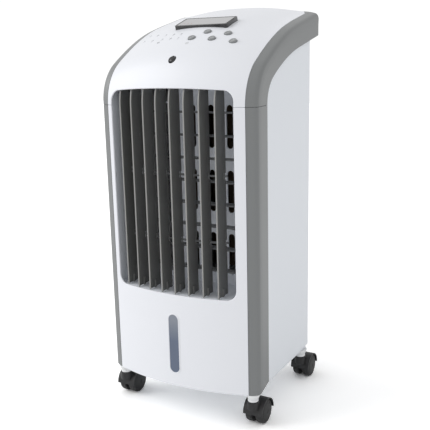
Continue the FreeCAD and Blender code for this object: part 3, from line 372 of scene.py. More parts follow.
CASTER_BLACK = Moulding(
    "CasterBlack", (0.010, 0.010, 0.011, 1), (0.018, 0.018, 0.019, 1), 0.46, 0.5, dust=0.012
)
TYRE_BLACK = Moulding(
    "TyreBlack", (0.011, 0.011, 0.012, 1), (0.020, 0.020, 0.020, 1), 0.55, 0.6, 500.0, 0.00005, 0.02
)
COLLAR_WHITE = Moulding("CollarWhite", (0.80, 0.81, 0.82, 1), (0.74, 0.75, 0.76, 1), 0.35, 0.3)
KEY_GREY = Moulding("KeyGrey", (0.25, 0.26, 0.265, 1), (0.21, 0.22, 0.225, 1), 0.36, 0.3, coat=0.2)
PRINT_GREY = Moulding("PrintGrey", (0.30, 0.31, 0.33, 1), (0.26, 0.27, 0.29, 1), 0.5, 0.3)
PRINT_PALE = Moulding("PrintPale", (0.60, 0.61, 0.63, 1), (0.56, 0.57, 0.59, 1), 0.5, 0.3)
KEY_PRINT = Moulding("KeyPrint", (0.62, 0.63, 0.64, 1), (0.58, 0.59, 0.60, 1), 0.5, 0.3)
BEZEL_BLACK = Moulding("BezelBlack", (0.012, 0.012, 0.013, 1), (0.02, 0.02, 0.02, 1), 0.16, 0.3, coat=0.6)
PANEL_MIRROR = Moulding(
    "PanelMirror", (0.36, 0.36, 0.37, 1), (0.30, 0.30, 0.31, 1), 0.12, 0.5, dust=0.02, coat=0.6
)
LAMP_RED = Moulding("LampRed", (0.30, 0.05, 0.04, 1), (0.22, 0.04, 0.03, 1), 0.3, 0.3)
RECEIVER_BLACK = Moulding(
    "ReceiverBlack", (0.006, 0.006, 0.007, 1), (0.012, 0.012, 0.014, 1), 0.28, 0.3, dust=0.0, coat=0.2
)
STEEL = Moulding("Steel", (0.52, 0.52, 0.53, 1), (0.42, 0.42, 0.43, 1), 0.32, 0.4, metallic=1.0)
MOTOR_CASE = Moulding("MotorCase", (0.30, 0.31, 0.32, 1), (0.22, 0.23, 0.24, 1), 0.4, 0.4, metallic=0.8)
FAN_BLACK = Moulding("FanBlack", (0.015, 0.015, 0.016, 1), (0.025, 0.025, 0.026, 1), 0.45, 0.4, dust=0.1)
PAD_FIBRE = Moulding(
    "PadFibre", (0.12, 0.085, 0.055, 1), (0.07, 0.05, 0.032, 1), 0.85, 0.8, 350.0, 0.0002, 0.05
)
NET_GREY = Moulding("NetGrey", (0.09, 0.095, 0.10, 1), (0.06, 0.065, 0.07, 1), 0.55, 0.4)
BOARD_GREEN = Moulding("BoardGreen", (0.02, 0.13, 0.06, 1), (0.015, 0.09, 0.04, 1), 0.3, 0.5)
PUMP_BLUE = Moulding("PumpBlue", (0.03, 0.05, 0.09, 1), (0.02, 0.03, 0.06, 1), 0.4, 0.4)
GLAND_GREY = Moulding("GlandGrey", (0.12, 0.12, 0.12, 1), (0.09, 0.09, 0.09, 1), 0.5, 0.4)
WINDOW_CLEAR = Clear("WindowClear", (0.17, 0.21, 0.30, 1), (0.33, 0.36, 0.42, 1), 0.138, 0.016, 0.12, 0.35)
TANK_MILK = Clear("TankMilk", (0.50, 0.56, 0.64, 1), (0.62, 0.67, 0.73, 1), 0.14, 0.02, 0.3, 0.3)
HOSE_CLEAR = Clear("HoseClear", (0.60, 0.64, 0.66, 1), (0.66, 0.70, 0.72, 1), 0.3, 0.1, 0.2, 0.4)


# ---------------------------------------------------------------- mesh bench


@dataclass(frozen=True)
class EdgeRound:
    """Rounding that a live Bevel modifier gives to a piece's edges."""

    width: float = 0.0005
    segments: int = 2
    angle: float = math.radians(38.0)

    def apply_to(self, piece: bpy.types.Object) -> None:
        """Add the modifier.

        Args:
            piece: The piece whose edges are rounded.
        """
        bevel = piece.modifiers.new("edge_round", "BEVEL")
        bevel.width = self.width
        bevel.segments = self.segments
        bevel.limit_method = "ANGLE"
        bevel.angle_limit = self.angle
        bevel.harden_normals = True


def settle(
    bm: BMesh,
    name: str,
    finish: Moulding | Clear,
    body: str = HOUSING,
    stands_for: Iterable[str] = (),
    smooth_angle: float = 40.0,
) -> bpy.types.Object:
    """Turn a bmesh into a dressed piece that rides on a body.

    Args:
        bm: The finished mesh; it is freed.
        name: Name of the piece.
        finish: Finish of the whole piece.
        body: Body that the piece moves with.
        stands_for: Frame nodes that the piece replaces.
        smooth_angle: Edges sharper than this, in degrees, stay sharp.

    Returns:
        The new object.
    """
    mesh = bpy.data.meshes.new(name)
    bm.to_mesh(mesh)
    bm.free()
    mesh.shade_smooth()
    mesh.set_sharp_from_angle(angle=math.radians(smooth_angle))
    mesh.materials.append(finish.material())
    piece = bpy.data.objects.new(name, mesh)
    bpy.context.scene.collection.objects.link(piece)
    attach(piece, body)
    if stands_for:
        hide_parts(*stands_for)
    LOG.info("piece %s rides on %s", name, body)
    return piece


def grid_pattern(columns: list[float], rows: list[float]) -> BMesh:
    """Make a flat pattern of quads on uneven lines.

    Args:
        columns: x of each column line.
        rows: y of each row line.

    Returns:
        A bmesh that lies in the XY plane.
    """
    bm = bmesh.new()
    across = len(columns) - 1
    along = len(rows) - 1
    bmesh.ops.create_grid(bm, x_segments=across, y_segments=along, size=1.0)
    for vert in bm.verts:
        column = round((vert.co.x + 1.0) / 2.0 * across)
        row = round((vert.co.y + 1.0) / 2.0 * along)
        vert.co = Vector((columns[column], rows[row], 0.0))
    return bm


def steps(start: float, end: float, pitch: float) -> list[float]:
    """Evenly spaced values from start to end, no further apart than pitch."""
    count = max(1, math.ceil(abs(end - start) / pitch))
    return [start + (end - start) * index / count for index in range(count + 1)]


def smooth_step(share: float) -> float:
    """Ease a share, held between 0 and 1, in and out."""
    share = min(1.0, max(0.0, share))
    return share * share * (3.0 - 2.0 * share)


def face_outwards(bm: BMesh, outward: Vector) -> None:
    """Turn an open sheet so that it faces roughly one way.

    Args:
        bm: The sheet.
        outward: Direction that the sheet's faces look on average.
    """
    bmesh.ops.recalc_face_normals(bm, faces=bm.faces[:])
    total = Vector()
    for face in bm.faces:
        total += face.normal * face.calc_area()
    if total.dot(outward) < 0.0:
        bmesh.ops.reverse_faces(bm, faces=bm.faces[:])


def spin_full(bm: BMesh, geometry: list, sides: int) -> None:
    """Spin vertices and edges a full turn about the Z axis, and face the result outwards.

    Args:
        bm: The bmesh that holds them.
        geometry: Vertices and edges of the section.
        sides: Number of steps of the turn.
    """
    bmesh.ops.spin(
        bm,
        geom=geometry,
        cent=(0, 0, 0),
        axis=(0, 0, 1),
        angle=math.tau,
        steps=sides,
        use_merge=True,
    )
    bmesh.ops.remove_doubles(bm, verts=bm.verts[:], dist=1e-6)
    bmesh.ops.recalc_face_normals(bm, faces=bm.faces[:])


def spin_profile(profile: Loop, sides: int = 40) -> BMesh:
    """Spin an open profile of (radius, height) points about the Z axis.

    Args:
        profile: Points from the axis round the section and back to the axis.
        sides: Number of steps of the full turn.

    Returns:
        A closed bmesh with outward normals.
    """
    bm = bmesh.new()
    verts = [bm.verts.new((radius, 0.0, height)) for radius, height in profile]
    edges = [bm.edges.new(pair) for pair in zip(verts, verts[1:])]
    spin_full(bm, verts + edges, sides)
    return bm


def spin_ring(profile: Loop, sides: int) -> BMesh:
    """Spin a closed profile of (radius, height) points, clear of the axis, about the Z axis.

    Args:
        profile: Points once round the section.
        sides: Number of steps of the full turn.

    Returns:
        A closed ring with outward normals.
    """
    bm = bmesh.new()
    verts = [bm.verts.new((radius, 0.0, height)) for radius, height in profile]
    edges = [bm.edges.new((verts[k], verts[(k + 1) % len(verts)])) for k in range(len(verts))]
    spin_full(bm, verts + edges, sides)
    return bm


def lay(bm: BMesh, origin: Vector, across: Vector, up: Vector) -> BMesh:
    """Move a bmesh made about Z to a place with its own axes.

    Args:
        bm: The bmesh to move.
        origin: Where its own origin goes.
        across: Direction of its X axis.
        up: Direction of its Z axis.

    Returns:
        The same bmesh.
    """
    z = up.normalized()
    x = (across - z * across.dot(z)).normalized()
    y = z.cross(x)
    turn = Matrix((x, y, z)).transposed().to_4x4()
    bmesh.ops.transform(bm, matrix=Matrix.Translation(origin) @ turn, verts=bm.verts[:])
    return bm


def merge_into(target: BMesh, other: BMesh) -> None:
    """Add one bmesh to another and free the added one."""
    mesh = bpy.data.meshes.new("bench")
    other.to_mesh(mesh)
    other.free()
    target.from_mesh(mesh)
    bpy.data.meshes.remove(mesh)


def block(low: Vector, high: Vector) -> BMesh:
    """A box between two corners, for parts that are softened afterwards."""
    bm = bmesh.new()
    size = high - low
    bmesh.ops.create_cube(bm, size=1.0)
    bmesh.ops.scale(bm, vec=size, verts=bm.verts[:])
    bmesh.ops.translate(bm, vec=(low + high) / 2.0, verts=bm.verts[:])
    return bm


def rounded_plate(
    half_x: float, half_y: float, corner: float, low: float, high: float, segments: int = 5
) -> BMesh:
    """A flat plate with rounded corners between two heights.

    Args:
        half_x: Half width.
        half_y: Half length.
        corner: Radius of its corners.
        low: Height of its underside.
        high: Height of its top.
        segments: Steps of each corner.

    Returns:
        A closed bmesh about the Z axis.
    """
    bm = bmesh.new()
    bmesh.ops.create_grid(bm, x_segments=1, y_segments=1, size=1.0)
    bmesh.ops.scale(bm, vec=(half_x, half_y, 1.0), verts=bm.verts[:])
    bmesh.ops.translate(bm, vec=(0.0, 0.0, low), verts=bm.verts[:])
    bmesh.ops.bevel(
        bm,
        geom=bm.verts[:],
        offset=corner,
        offset_type="OFFSET",
        segments=segments,
        profile=0.5,
        affect="VERTICES",
        material=-1,
    )
    grown = bmesh.ops.extrude_face_region(bm, geom=bm.faces[:])["geom"]
    lifted = [item for item in grown if isinstance(item, BMVert)]
    bmesh.ops.translate(bm, vec=(0.0, 0.0, high - low), verts=lifted)
    bmesh.ops.recalc_face_normals(bm, faces=bm.faces[:])
    return bm


def softened(
    frame: dict,
    node: str,
    finish: Moulding | Clear,
    body: str = HOUSING,
    rounding: EdgeRound = EdgeRound(),
) -> bpy.types.Object:
    """Stand in for a frame node with a merged copy whose edges are rounded.

    Args:
        node: Name of the frame node.
        finish: Finish of the copy.
        body: Body that the node rides on.
        rounding: Rounding of its edges.

    Returns:
        The new object.
    """
    bm = bmesh.new()
    bm.from_mesh(frame["nodes"][node].data)
    bmesh.ops.remove_doubles(bm, verts=bm.verts[:], dist=1e-5)
    bmesh.ops.dissolve_limit(bm, angle_limit=math.radians(0.6), verts=bm.verts[:], edges=bm.edges[:])
    bmesh.ops.recalc_face_normals(bm, faces=bm.faces[:])
    piece = settle(bm, node + "_finished", finish, body, [node])
    rounding.apply_to(piece)
    return piece


def dress(frame: dict, node: str, finish: Moulding | Clear) -> None:
    """Give a frame node that stays its finish."""
    for holder in frame["nodes"][node].material_slots:
        holder.link = "OBJECT"
        holder.material = finish.material()
    LOG.info("node %s keeps its shape", node)


# ---------------------------------------------------------------- lines of the body


@dataclass(frozen=True)
class BodyLines:
    """Side view of the body: straight front, nose arc, crown arc, straight roof, lip."""

    front: float
    skirt: float
    split: float
    half_white: float = 0.111
    half_body: float = 0.1255
    bow: float = 0.0187
    rear_bow: float = 0.0160
    rear_power: float = 2.6
    edge_rise: float = 0.0060
    edge_rise_length: float = 0.150
    edge_rise_power: float = 6.0
    nose_radius: float = 0.070
    nose_turn: float = math.radians(57.0)
    crown_radius: float = 0.330
    crown_turn: float = math.radians(20.0)
    roof_length: float = 0.0856
    lip_depth: float = 0.029
    lip_round: float = 0.0035
    soffit: float = 0.024
    corner_reach: float = 0.022
    corner_cut: float = 0.011

    @property
    def nose_end(self) -> float:
        """Travel from the split line to the end of the nose arc."""
        return self.nose_radius * self.nose_turn

    @property
    def crown_end(self) -> float:
        """Travel from the split line to the end of the crown arc."""
        return self.nose_end + self.crown_radius * self.crown_turn

    @property
    def roof_end(self) -> float:
        """Travel from the split line to the rear end of the roof."""
        return self.crown_end + self.roof_length

    def tip(self, travel: float) -> float:
        """Angle by which the surface leans back at a travel from the split line."""
        if travel <= 0.0:
            return 0.0
        if travel <= self.nose_end:
            return travel / self.nose_radius
        if travel <= self.crown_end:
            return self.nose_turn + (travel - self.nose_end) / self.crown_radius
        return self.nose_turn + self.crown_turn

    def axes(self, tip: float) -> tuple[Vector, Vector]:
        """Forward direction along the surface and its outward normal at a tip angle."""
        along = Vector((0.0, math.sin(tip), math.cos(tip)))
        outward = Vector((0.0, -math.cos(tip), math.sin(tip)))
        return along, outward

    def arc_point(self, travel: float, tight: float, wide: float, start: float) -> Vector:
        """Point of a line that bends on two arcs and then runs straight.

        Args:
            travel: Travel along the outer line.
            tight: Radius of the first arc.
            wide: Radius of the second arc.
            start: y of the line where it is upright.

        Returns:
            The point at x = 0.
        """
        tip = self.tip(travel)
        if travel <= 0.0:
            return Vector((0.0, start, self.split + travel))
        near = Vector((0.0, start + tight, self.split))
        if travel <= self.nose_end:
            return near + self.axes(tip)[1] * tight
        far = near - self.axes(self.nose_turn)[1] * (wide - tight)
        return far + self.axes(tip)[1] * wide

    def edge(self, travel: float) -> Vector:
        """Outer line of the body's side view at x = 0."""
        point = self.arc_point(travel, self.nose_radius, self.crown_radius, self.front)
        past = max(0.0, travel - self.crown_end)
        return point + self.axes(self.tip(travel))[0] * past

    def rise(self, travel: float) -> float:
        """How far the roof's side edges are turned up from the outer line."""
        return self.edge_rise * smooth_step((travel - self.nose_end) / self.edge_rise_length)

    def lift(self, x: float, travel: float) -> float:
        """How far the bowed skin stands out from the outer line at x."""
        reach = self.half_white
        radius = (reach * reach + self.bow * self.bow) / (2.0 * self.bow)
        bowed = math.sqrt(radius * radius - min(x * x, reach * reach)) - radius + self.bow
        share = smooth_step((travel - self.crown_end) / self.roof_length)
        flat = self.rear_bow * (1.0 - min(1.0, abs(x) / reach) ** self.rear_power)
        turned = self.rise(travel) * min(1.0, abs(x) / reach) ** self.edge_rise_power
        return bowed + (flat - bowed) * share + turned

    def white_half(self, travel: float) -> float:
        """Half width of the white skin, which draws in at the rear corners."""
        past = (travel - self.roof_end + self.corner_reach) / self.corner_reach
        past = min(1.0, max(0.0, past))
        return self.half_white - self.corner_cut * past * past

    def skin(self, x: float, travel: float) -> Vector:
        """Point of the white skin, on the lip and soffit too.

        Args:
            x: Place across the body.
            travel: Travel from the split line, on over the rear edge, down the lip and forward.

        Returns:
            The point in the body's frame.
        """
        turn = self.roof_end - self.lip_round
        if travel <= turn:
            outward = self.axes(self.tip(travel))[1]
            return Vector((x, 0.0, 0.0)) + self.edge(travel) + outward * self.lift(x, travel)
        along, outward = self.axes(self.nose_turn + self.crown_turn)
        past = travel - turn
        corner = self.lip_round
        quarter = corner * math.pi / 2.0
        if past <= quarter:
            angle = past / corner
            forward = corner * math.sin(angle)
            depth = corner * (1.0 - math.cos(angle))
        elif past <= quarter + self.lip_depth - corner:
            forward = corner
            depth = corner + past - quarter
        else:
            forward = corner - (past - quarter - self.lip_depth + corner)
            depth = self.lip_depth
        share = max(0.0, 1.0 - depth / self.lip_depth)
        rise = self.lift(x, self.roof_end) * share - depth
        return Vector((x, 0.0, 0.0)) + self.edge(turn) + along * forward + outward * rise

    def frame_at(self, x: float, tip: float, extra: float = 0.0) -> tuple[Vector, Vector, Vector]:
        """Surface point, direction along it and outward normal for a control on the cover.

        Args:
            x: Place across the body.
            tip: Lean of the control's axis.
            extra: Height above the skin.

        Returns:
            The point, the direction along the skin and the normal of the side view.
        """
        if tip <= self.nose_turn:
            travel = tip * self.nose_radius
        else:
            travel = self.nose_end + (tip - self.nose_turn) * self.crown_radius
        along, outward = self.axes(tip)
        point = self.edge(travel) + Vector((x, 0.0, 0.0))
        return point + outward * (self.lift(x, travel) + extra), along, outward


# ---------------------------------------------------------------- white shell


@dataclass(frozen=True)
class Opening:
    """A rounded opening in the flat pattern of a skin."""

    x: float
    y: float
    half_x: float
    half_y: float
    radius: float

    def core(self, point: Vector) -> Vector:
        """Nearest point of the opening's inner rectangle, which lies one radius inside."""
        reach_x = self.half_x - self.radius
        reach_y = self.half_y - self.radius
        x = min(self.x + reach_x, max(self.x - reach_x, point.x))
        y = min(self.y + reach_y, max(self.y - reach_y, point.y))
        return Vector((x, y, 0.0))

    def clearance(self, point: Vector) -> float:
        """Distance of a point outside the opening's edge."""
        return (point - self.core(point)).length - self.radius

    def cut(self, bm: BMesh, margin: float) -> None:
        """Cut the opening and end the skin in a clean ring of quads.

        Args:
            bm: The flat pattern.
            margin: Width of the ring round the opening.
        """
        outer = {edge for edge in bm.edges if edge.is_boundary}
        doomed = [face for face in bm.faces if min(self.clearance(v.co) for v in face.verts) < margin]
        bmesh.ops.delete(bm, geom=doomed, context="FACES")
        rim = [edge for edge in bm.edges if edge.is_boundary and edge not in outer]
        grown = bmesh.ops.extrude_edge_only(bm, edges=rim)
        for vert in (item for item in grown["geom"] if isinstance(item, BMVert)):
            core = self.core(vert.co)
            vert.co = core + (vert.co - core).normalized() * self.radius


@dataclass
class WhiteShell:
    """Front skin, cover skin and their openings."""

    lines: BodyLines
    buttons: list[tuple[float, float]]
    wall: float = 0.0025
    cell: float = 0.003
    fine: float = 0.002
    seam: float = 0.00015
    grille_left: float = -0.103
    grille_right: float = 0.096
    grille_foot: float = 0.193
    grille_rise: float = 0.020
    grille_corner: float = 0.014
    window_foot: float = 0.073
    window_top: float = 0.163
    window_half: float = 0.008
    button_bore: float = 0.00575
    receiver_x: float = -0.003
    receiver_travel: float = math.radians(45.0) * 0.070
    receiver_bore: float = 0.0055
    front_ring: float = 0.002
    window_ring: float = 0.0016
    cover_ring: float = 0.0015
    bore_ring: float = 0.0008
    lip_cell: float = 0.004
    soffit_cell: float = 0.006
    rounding: EdgeRound = field(default_factory=lambda: EdgeRound(0.0008, 3))

    def grille(self) -> Opening:
        """Return the air outlet's opening in travel from the split line."""
        foot = self.grille_foot - self.lines.split
        half = (self.grille_rise - foot) / 2.0
        middle = (self.grille_left + self.grille_right) / 2.0
        reach = (self.grille_right - self.grille_left) / 2.0
        return Opening(middle, foot + half, reach, half, self.grille_corner)

    def _skin(self, bm: BMesh, name: str, node: str) -> bpy.types.Object:
        """Bend a flat pattern over the body and give it its wall.

        Args:
            bm: Pattern of x and travel.
            name: Name of the piece.
            node: Frame node that it replaces.

        Returns:
            The piece.
        """
        for vert in bm.verts:
            share = vert.co.x / self.lines.half_white
            x = share * self.lines.white_half(vert.co.y)
            vert.co = self.lines.skin(x, vert.co.y)
        face_outwards(bm, Vector((0.0, -1.0, 0.4)))
        piece = settle(bm, name, SHELL_WHITE, stands_for=[node])
        wall = piece.modifiers.new("wall", "SOLIDIFY")
        wall.thickness = self.wall
        wall.offset = -1.0
        wall.use_even_offset = True
        self.rounding.apply_to(piece)
        return piece

    def build_front(self) -> None:
        """Build the straight front skin with the outlet and the window slot."""
        lines = self.lines
        columns = steps(-lines.half_white, lines.half_white, self.cell)
        rows = steps(lines.skirt - lines.split, -self.seam, self.cell)
        bm = grid_pattern(columns, rows)
        self.grille().cut(bm, self.front_ring)
        middle = (self.window_foot + self.window_top) / 2.0 - lines.split
        half = (self.window_top - self.window_foot) / 2.0
        Opening(0.0, middle, self.window_half, half, self.window_half).cut(bm, self.window_ring)
        self._skin(bm, "front_skin", "front_panel")

    def build_cover(self) -> None:
        """Build the cover skin from the split line over the roof and round the lip."""
        lines = self.lines
        columns = steps(-lines.half_white, lines.half_white, self.fine)
        turn = lines.roof_end - lines.lip_round
        quarter = lines.lip_round * math.pi / 2.0
        lip = turn + quarter + lines.lip_depth - lines.lip_round
        rows = steps(self.seam, turn, self.fine)[:-1]
        rows += steps(turn, turn + quarter, quarter / 5.0)[:-1]
        rows += steps(turn + quarter, lip, self.lip_cell)[:-1]
        rows += steps(lip, lip + lines.soffit, self.soffit_cell)
        bm = grid_pattern(columns, rows)
        self.grille().cut(bm, self.cover_ring)
        bore = self.button_bore
        for x, travel in self.buttons:
            Opening(x, travel, bore, bore, bore).cut(bm, self.bore_ring)
        bore = self.receiver_bore
        Opening(self.receiver_x, self.receiver_travel, bore, bore, bore).cut(bm, self.bore_ring)
        self._skin(bm, "cover_skin", "top_cover")


# ---------------------------------------------------------------- corner trims


@dataclass
class CornerTrim:
    """Grey band on one side, in a lower and an upper length."""

    lines: BodyLines
    side: Side
    seam: float = 0.0003
    wall: float = 0.0035
    flange: float = 0.0049
    depth: float = 0.0452
    taper: float = 0.0037
    bend: float = 0.045
    sweep: float = 0.280
    front_setback: float = 0.0066
    top_setback: float = 0.0036
    ridge_round: float = 0.0052
    foot_rise: float = 0.0055
    end_round: float = 0.004
    end_wall: float = 0.0024
    end_top: float = 0.0030
    end_overlap: float = 0.004
    pitch: float = 0.004
    straight_pitch: float = 0.05

    def setback(self, travel: float) -> float:
        """Depth of the ridge behind the white edge."""
        share = min(1.0, max(0.0, travel / self.lines.nose_end))
        return self.front_setback + (self.top_setback - self.front_setback) * share

    def inner_edge(self, travel: float) -> Vector:
        """Rear or lower edge of the band in side view."""
        lines = self.lines
        start = lines.front + self.depth
        tip = lines.tip(travel)
        point = lines.arc_point(travel, self.bend, self.sweep, start)
        past = max(0.0, travel - lines.crown_end)
        along, _ = lines.axes(tip)
        last = lines.edge(lines.roof_end)
        corner = lines.arc_point(lines.crown_end, self.bend, self.sweep, start)
        reach = (last - corner).dot(along)
        return point + along * (past / lines.roof_length * reach)

    def section(self, travel: float) -> list[Vector]:
        """Closed section of the band at one travel, in order round its outline."""
        lines = self.lines
        outer = lines.edge(travel)
        inner = self.inner_edge(travel)
        across = inner - outer
        full = across.length
        inward = across / full
        start = lines.white_half(travel) + self.seam
        edge = lines.half_white + self.seam
        far = lines.half_body
        setback = self.setback(travel)
        thick = self.wall + (edge - start) * 0.5
        drop = 0.0
        past = travel - lines.roof_end + self.end_round
        if past > 0.0:
            drop = self.end_round - math.sqrt(max(0.0, self.end_round**2 - past * past))
        slope = setback / (far - edge)
        up = lines.rise(travel)
        points: list[tuple[float, float]] = []
        ridge_start = far - self.ridge_round / math.hypot(1.0, slope)
        for share in (0.0, 0.34, 0.67, 1.0):
            x = start + (ridge_start - start) * share
            rise = -lines.lift(x, travel) if x < edge else slope * (x - edge) - up
            points.append((x, rise + drop))
        corner = (far, setback - up)
        begin = (ridge_start, slope * (ridge_start - edge) - up)
        end = (far, setback + self.ridge_round - up)
        for share in (0.2, 0.4, 0.6, 0.8, 1.0):
            keep = 1.0 - share
            x = keep * keep * begin[0] + 2 * keep * share * corner[0] + share * share * end[0]
            y = keep * keep * begin[1] + 2 * keep * share * corner[1] + share * share * end[1]
            points.append((x, y + drop))
        thinning = self.taper / (self.depth - end[1])
        points.append((far - thinning * (full * 0.5 - end[1]), full * 0.5))
        points.append((far - thinning * (full - end[1]), full))
        points.append((far - self.flange, full))
        points.append((far - self.flange, full * 0.5))
        points.append((far - self.flange, setback + self.wall + drop - up))
        points.append((start, thick + drop - up))
        sign = self.side.value
        return [Vector((sign * x, 0.0, 0.0)) + outer + inward * depth for x, depth in points]

    def _length(self, travels: list[float], name: str, node: str, rising_foot: bool) -> None:
        """Sweep the section through a list of travels and close both ends.

        Args:
            travels: Where the section is placed.
            name: Name of the piece.
            node: Frame node that it replaces.
            rising_foot: True where the foot climbs to the side panel.
        """
        bm = bmesh.new()
        first = self.section(travels[0])
        if rising_foot:
            top = max(point.y for point in first)
            low = min(point.y for point in first)
            for point in first:
                point.z += self.foot_rise * (point.y - low) / (top - low)
        ring = [bm.verts.new(point) for point in first]
        edges = [bm.edges.new((ring[k], ring[(k + 1) % len(ring)])) for k in range(len(ring))]
        bmesh.ops.contextual_create(bm, geom=edges)
        for travel in travels[1:]:
            grown = bmesh.ops.extrude_edge_only(bm, edges=edges)["geom"]
            target = self.section(travel)
            follow = {}
            for vert in (item for item in grown if isinstance(item, BMVert)):
                linked = [edge.other_vert(vert) for edge in vert.link_edges]
                back = next(other for other in linked if other in ring)
                follow[back] = vert
            ring = [follow[vert] for vert in ring]
            for vert, point in zip(ring, target):
                vert.co = point
            edges = [bm.edges.get((ring[k], ring[(k + 1) % len(ring)])) for k in range(len(ring))]
        bmesh.ops.contextual_create(bm, geom=edges)
        bmesh.ops.recalc_face_normals(bm, faces=bm.faces[:])
        piece = settle(bm, name, BAND_GREY, stands_for=[node], smooth_angle=50.0)
        EdgeRound(0.0005, 2, math.radians(55.0)).apply_to(piece)

    def build_end(self, label: str) -> None:
        """Close the band's rear end with a small wall beside the white lip.

        Args:
            label: Side, as it appears in names.
        """
        lines = self.lines
        along, _ = lines.axes(lines.tip(lines.roof_end))
        near = lines.half_white - lines.corner_cut - self.end_overlap
        far = lines.half_body - self.flange + self.end_wall / 2.0
        full = (self.inner_edge(lines.roof_end) - lines.edge(lines.roof_end)).length
        limits = sorted((self.side.value * near, self.side.value * far))
        low = Vector((limits[0], -self.end_top, -self.end_wall / 2.0))
        high = Vector((limits[1], full - self.end_wall / 4.0, self.end_wall / 2.0))
        origin = lines.edge(lines.roof_end - self.end_round)
        bm = lay(block(low, high), origin, Vector((1, 0, 0)), along)
        wall = settle(bm, f"{label}_band_end", BAND_GREY)
        EdgeRound(0.0006, 2).apply_to(wall)

    def build(self) -> None:
        """Build both lengths of the band."""
        lines = self.lines
        label = self.side.name.lower()
        half_seam = self.seam / 2.0
        low = steps(lines.skirt - lines.split, -half_seam, self.straight_pitch)
        self._length(low, f"{label}_band_lower", f"{label}_trim_lower", True)
        high = steps(half_seam, lines.roof_end - self.end_round, self.pitch)[:-1]
        high += steps(lines.roof_end - self.end_round, lines.roof_end, self.end_round / 6.0)
        self._length(high, f"{label}_band_upper", f"{label}_trim_upper", False)
        self.build_end(label)


# ---------------------------------------------------------------- controls on the cover


@dataclass(frozen=True)
class MarkRow:
    """One row of printed marks, each a small ring over a short bar."""

    travels: tuple[float, ...]
    shift: float
    inner_share: float
    bar_length: float


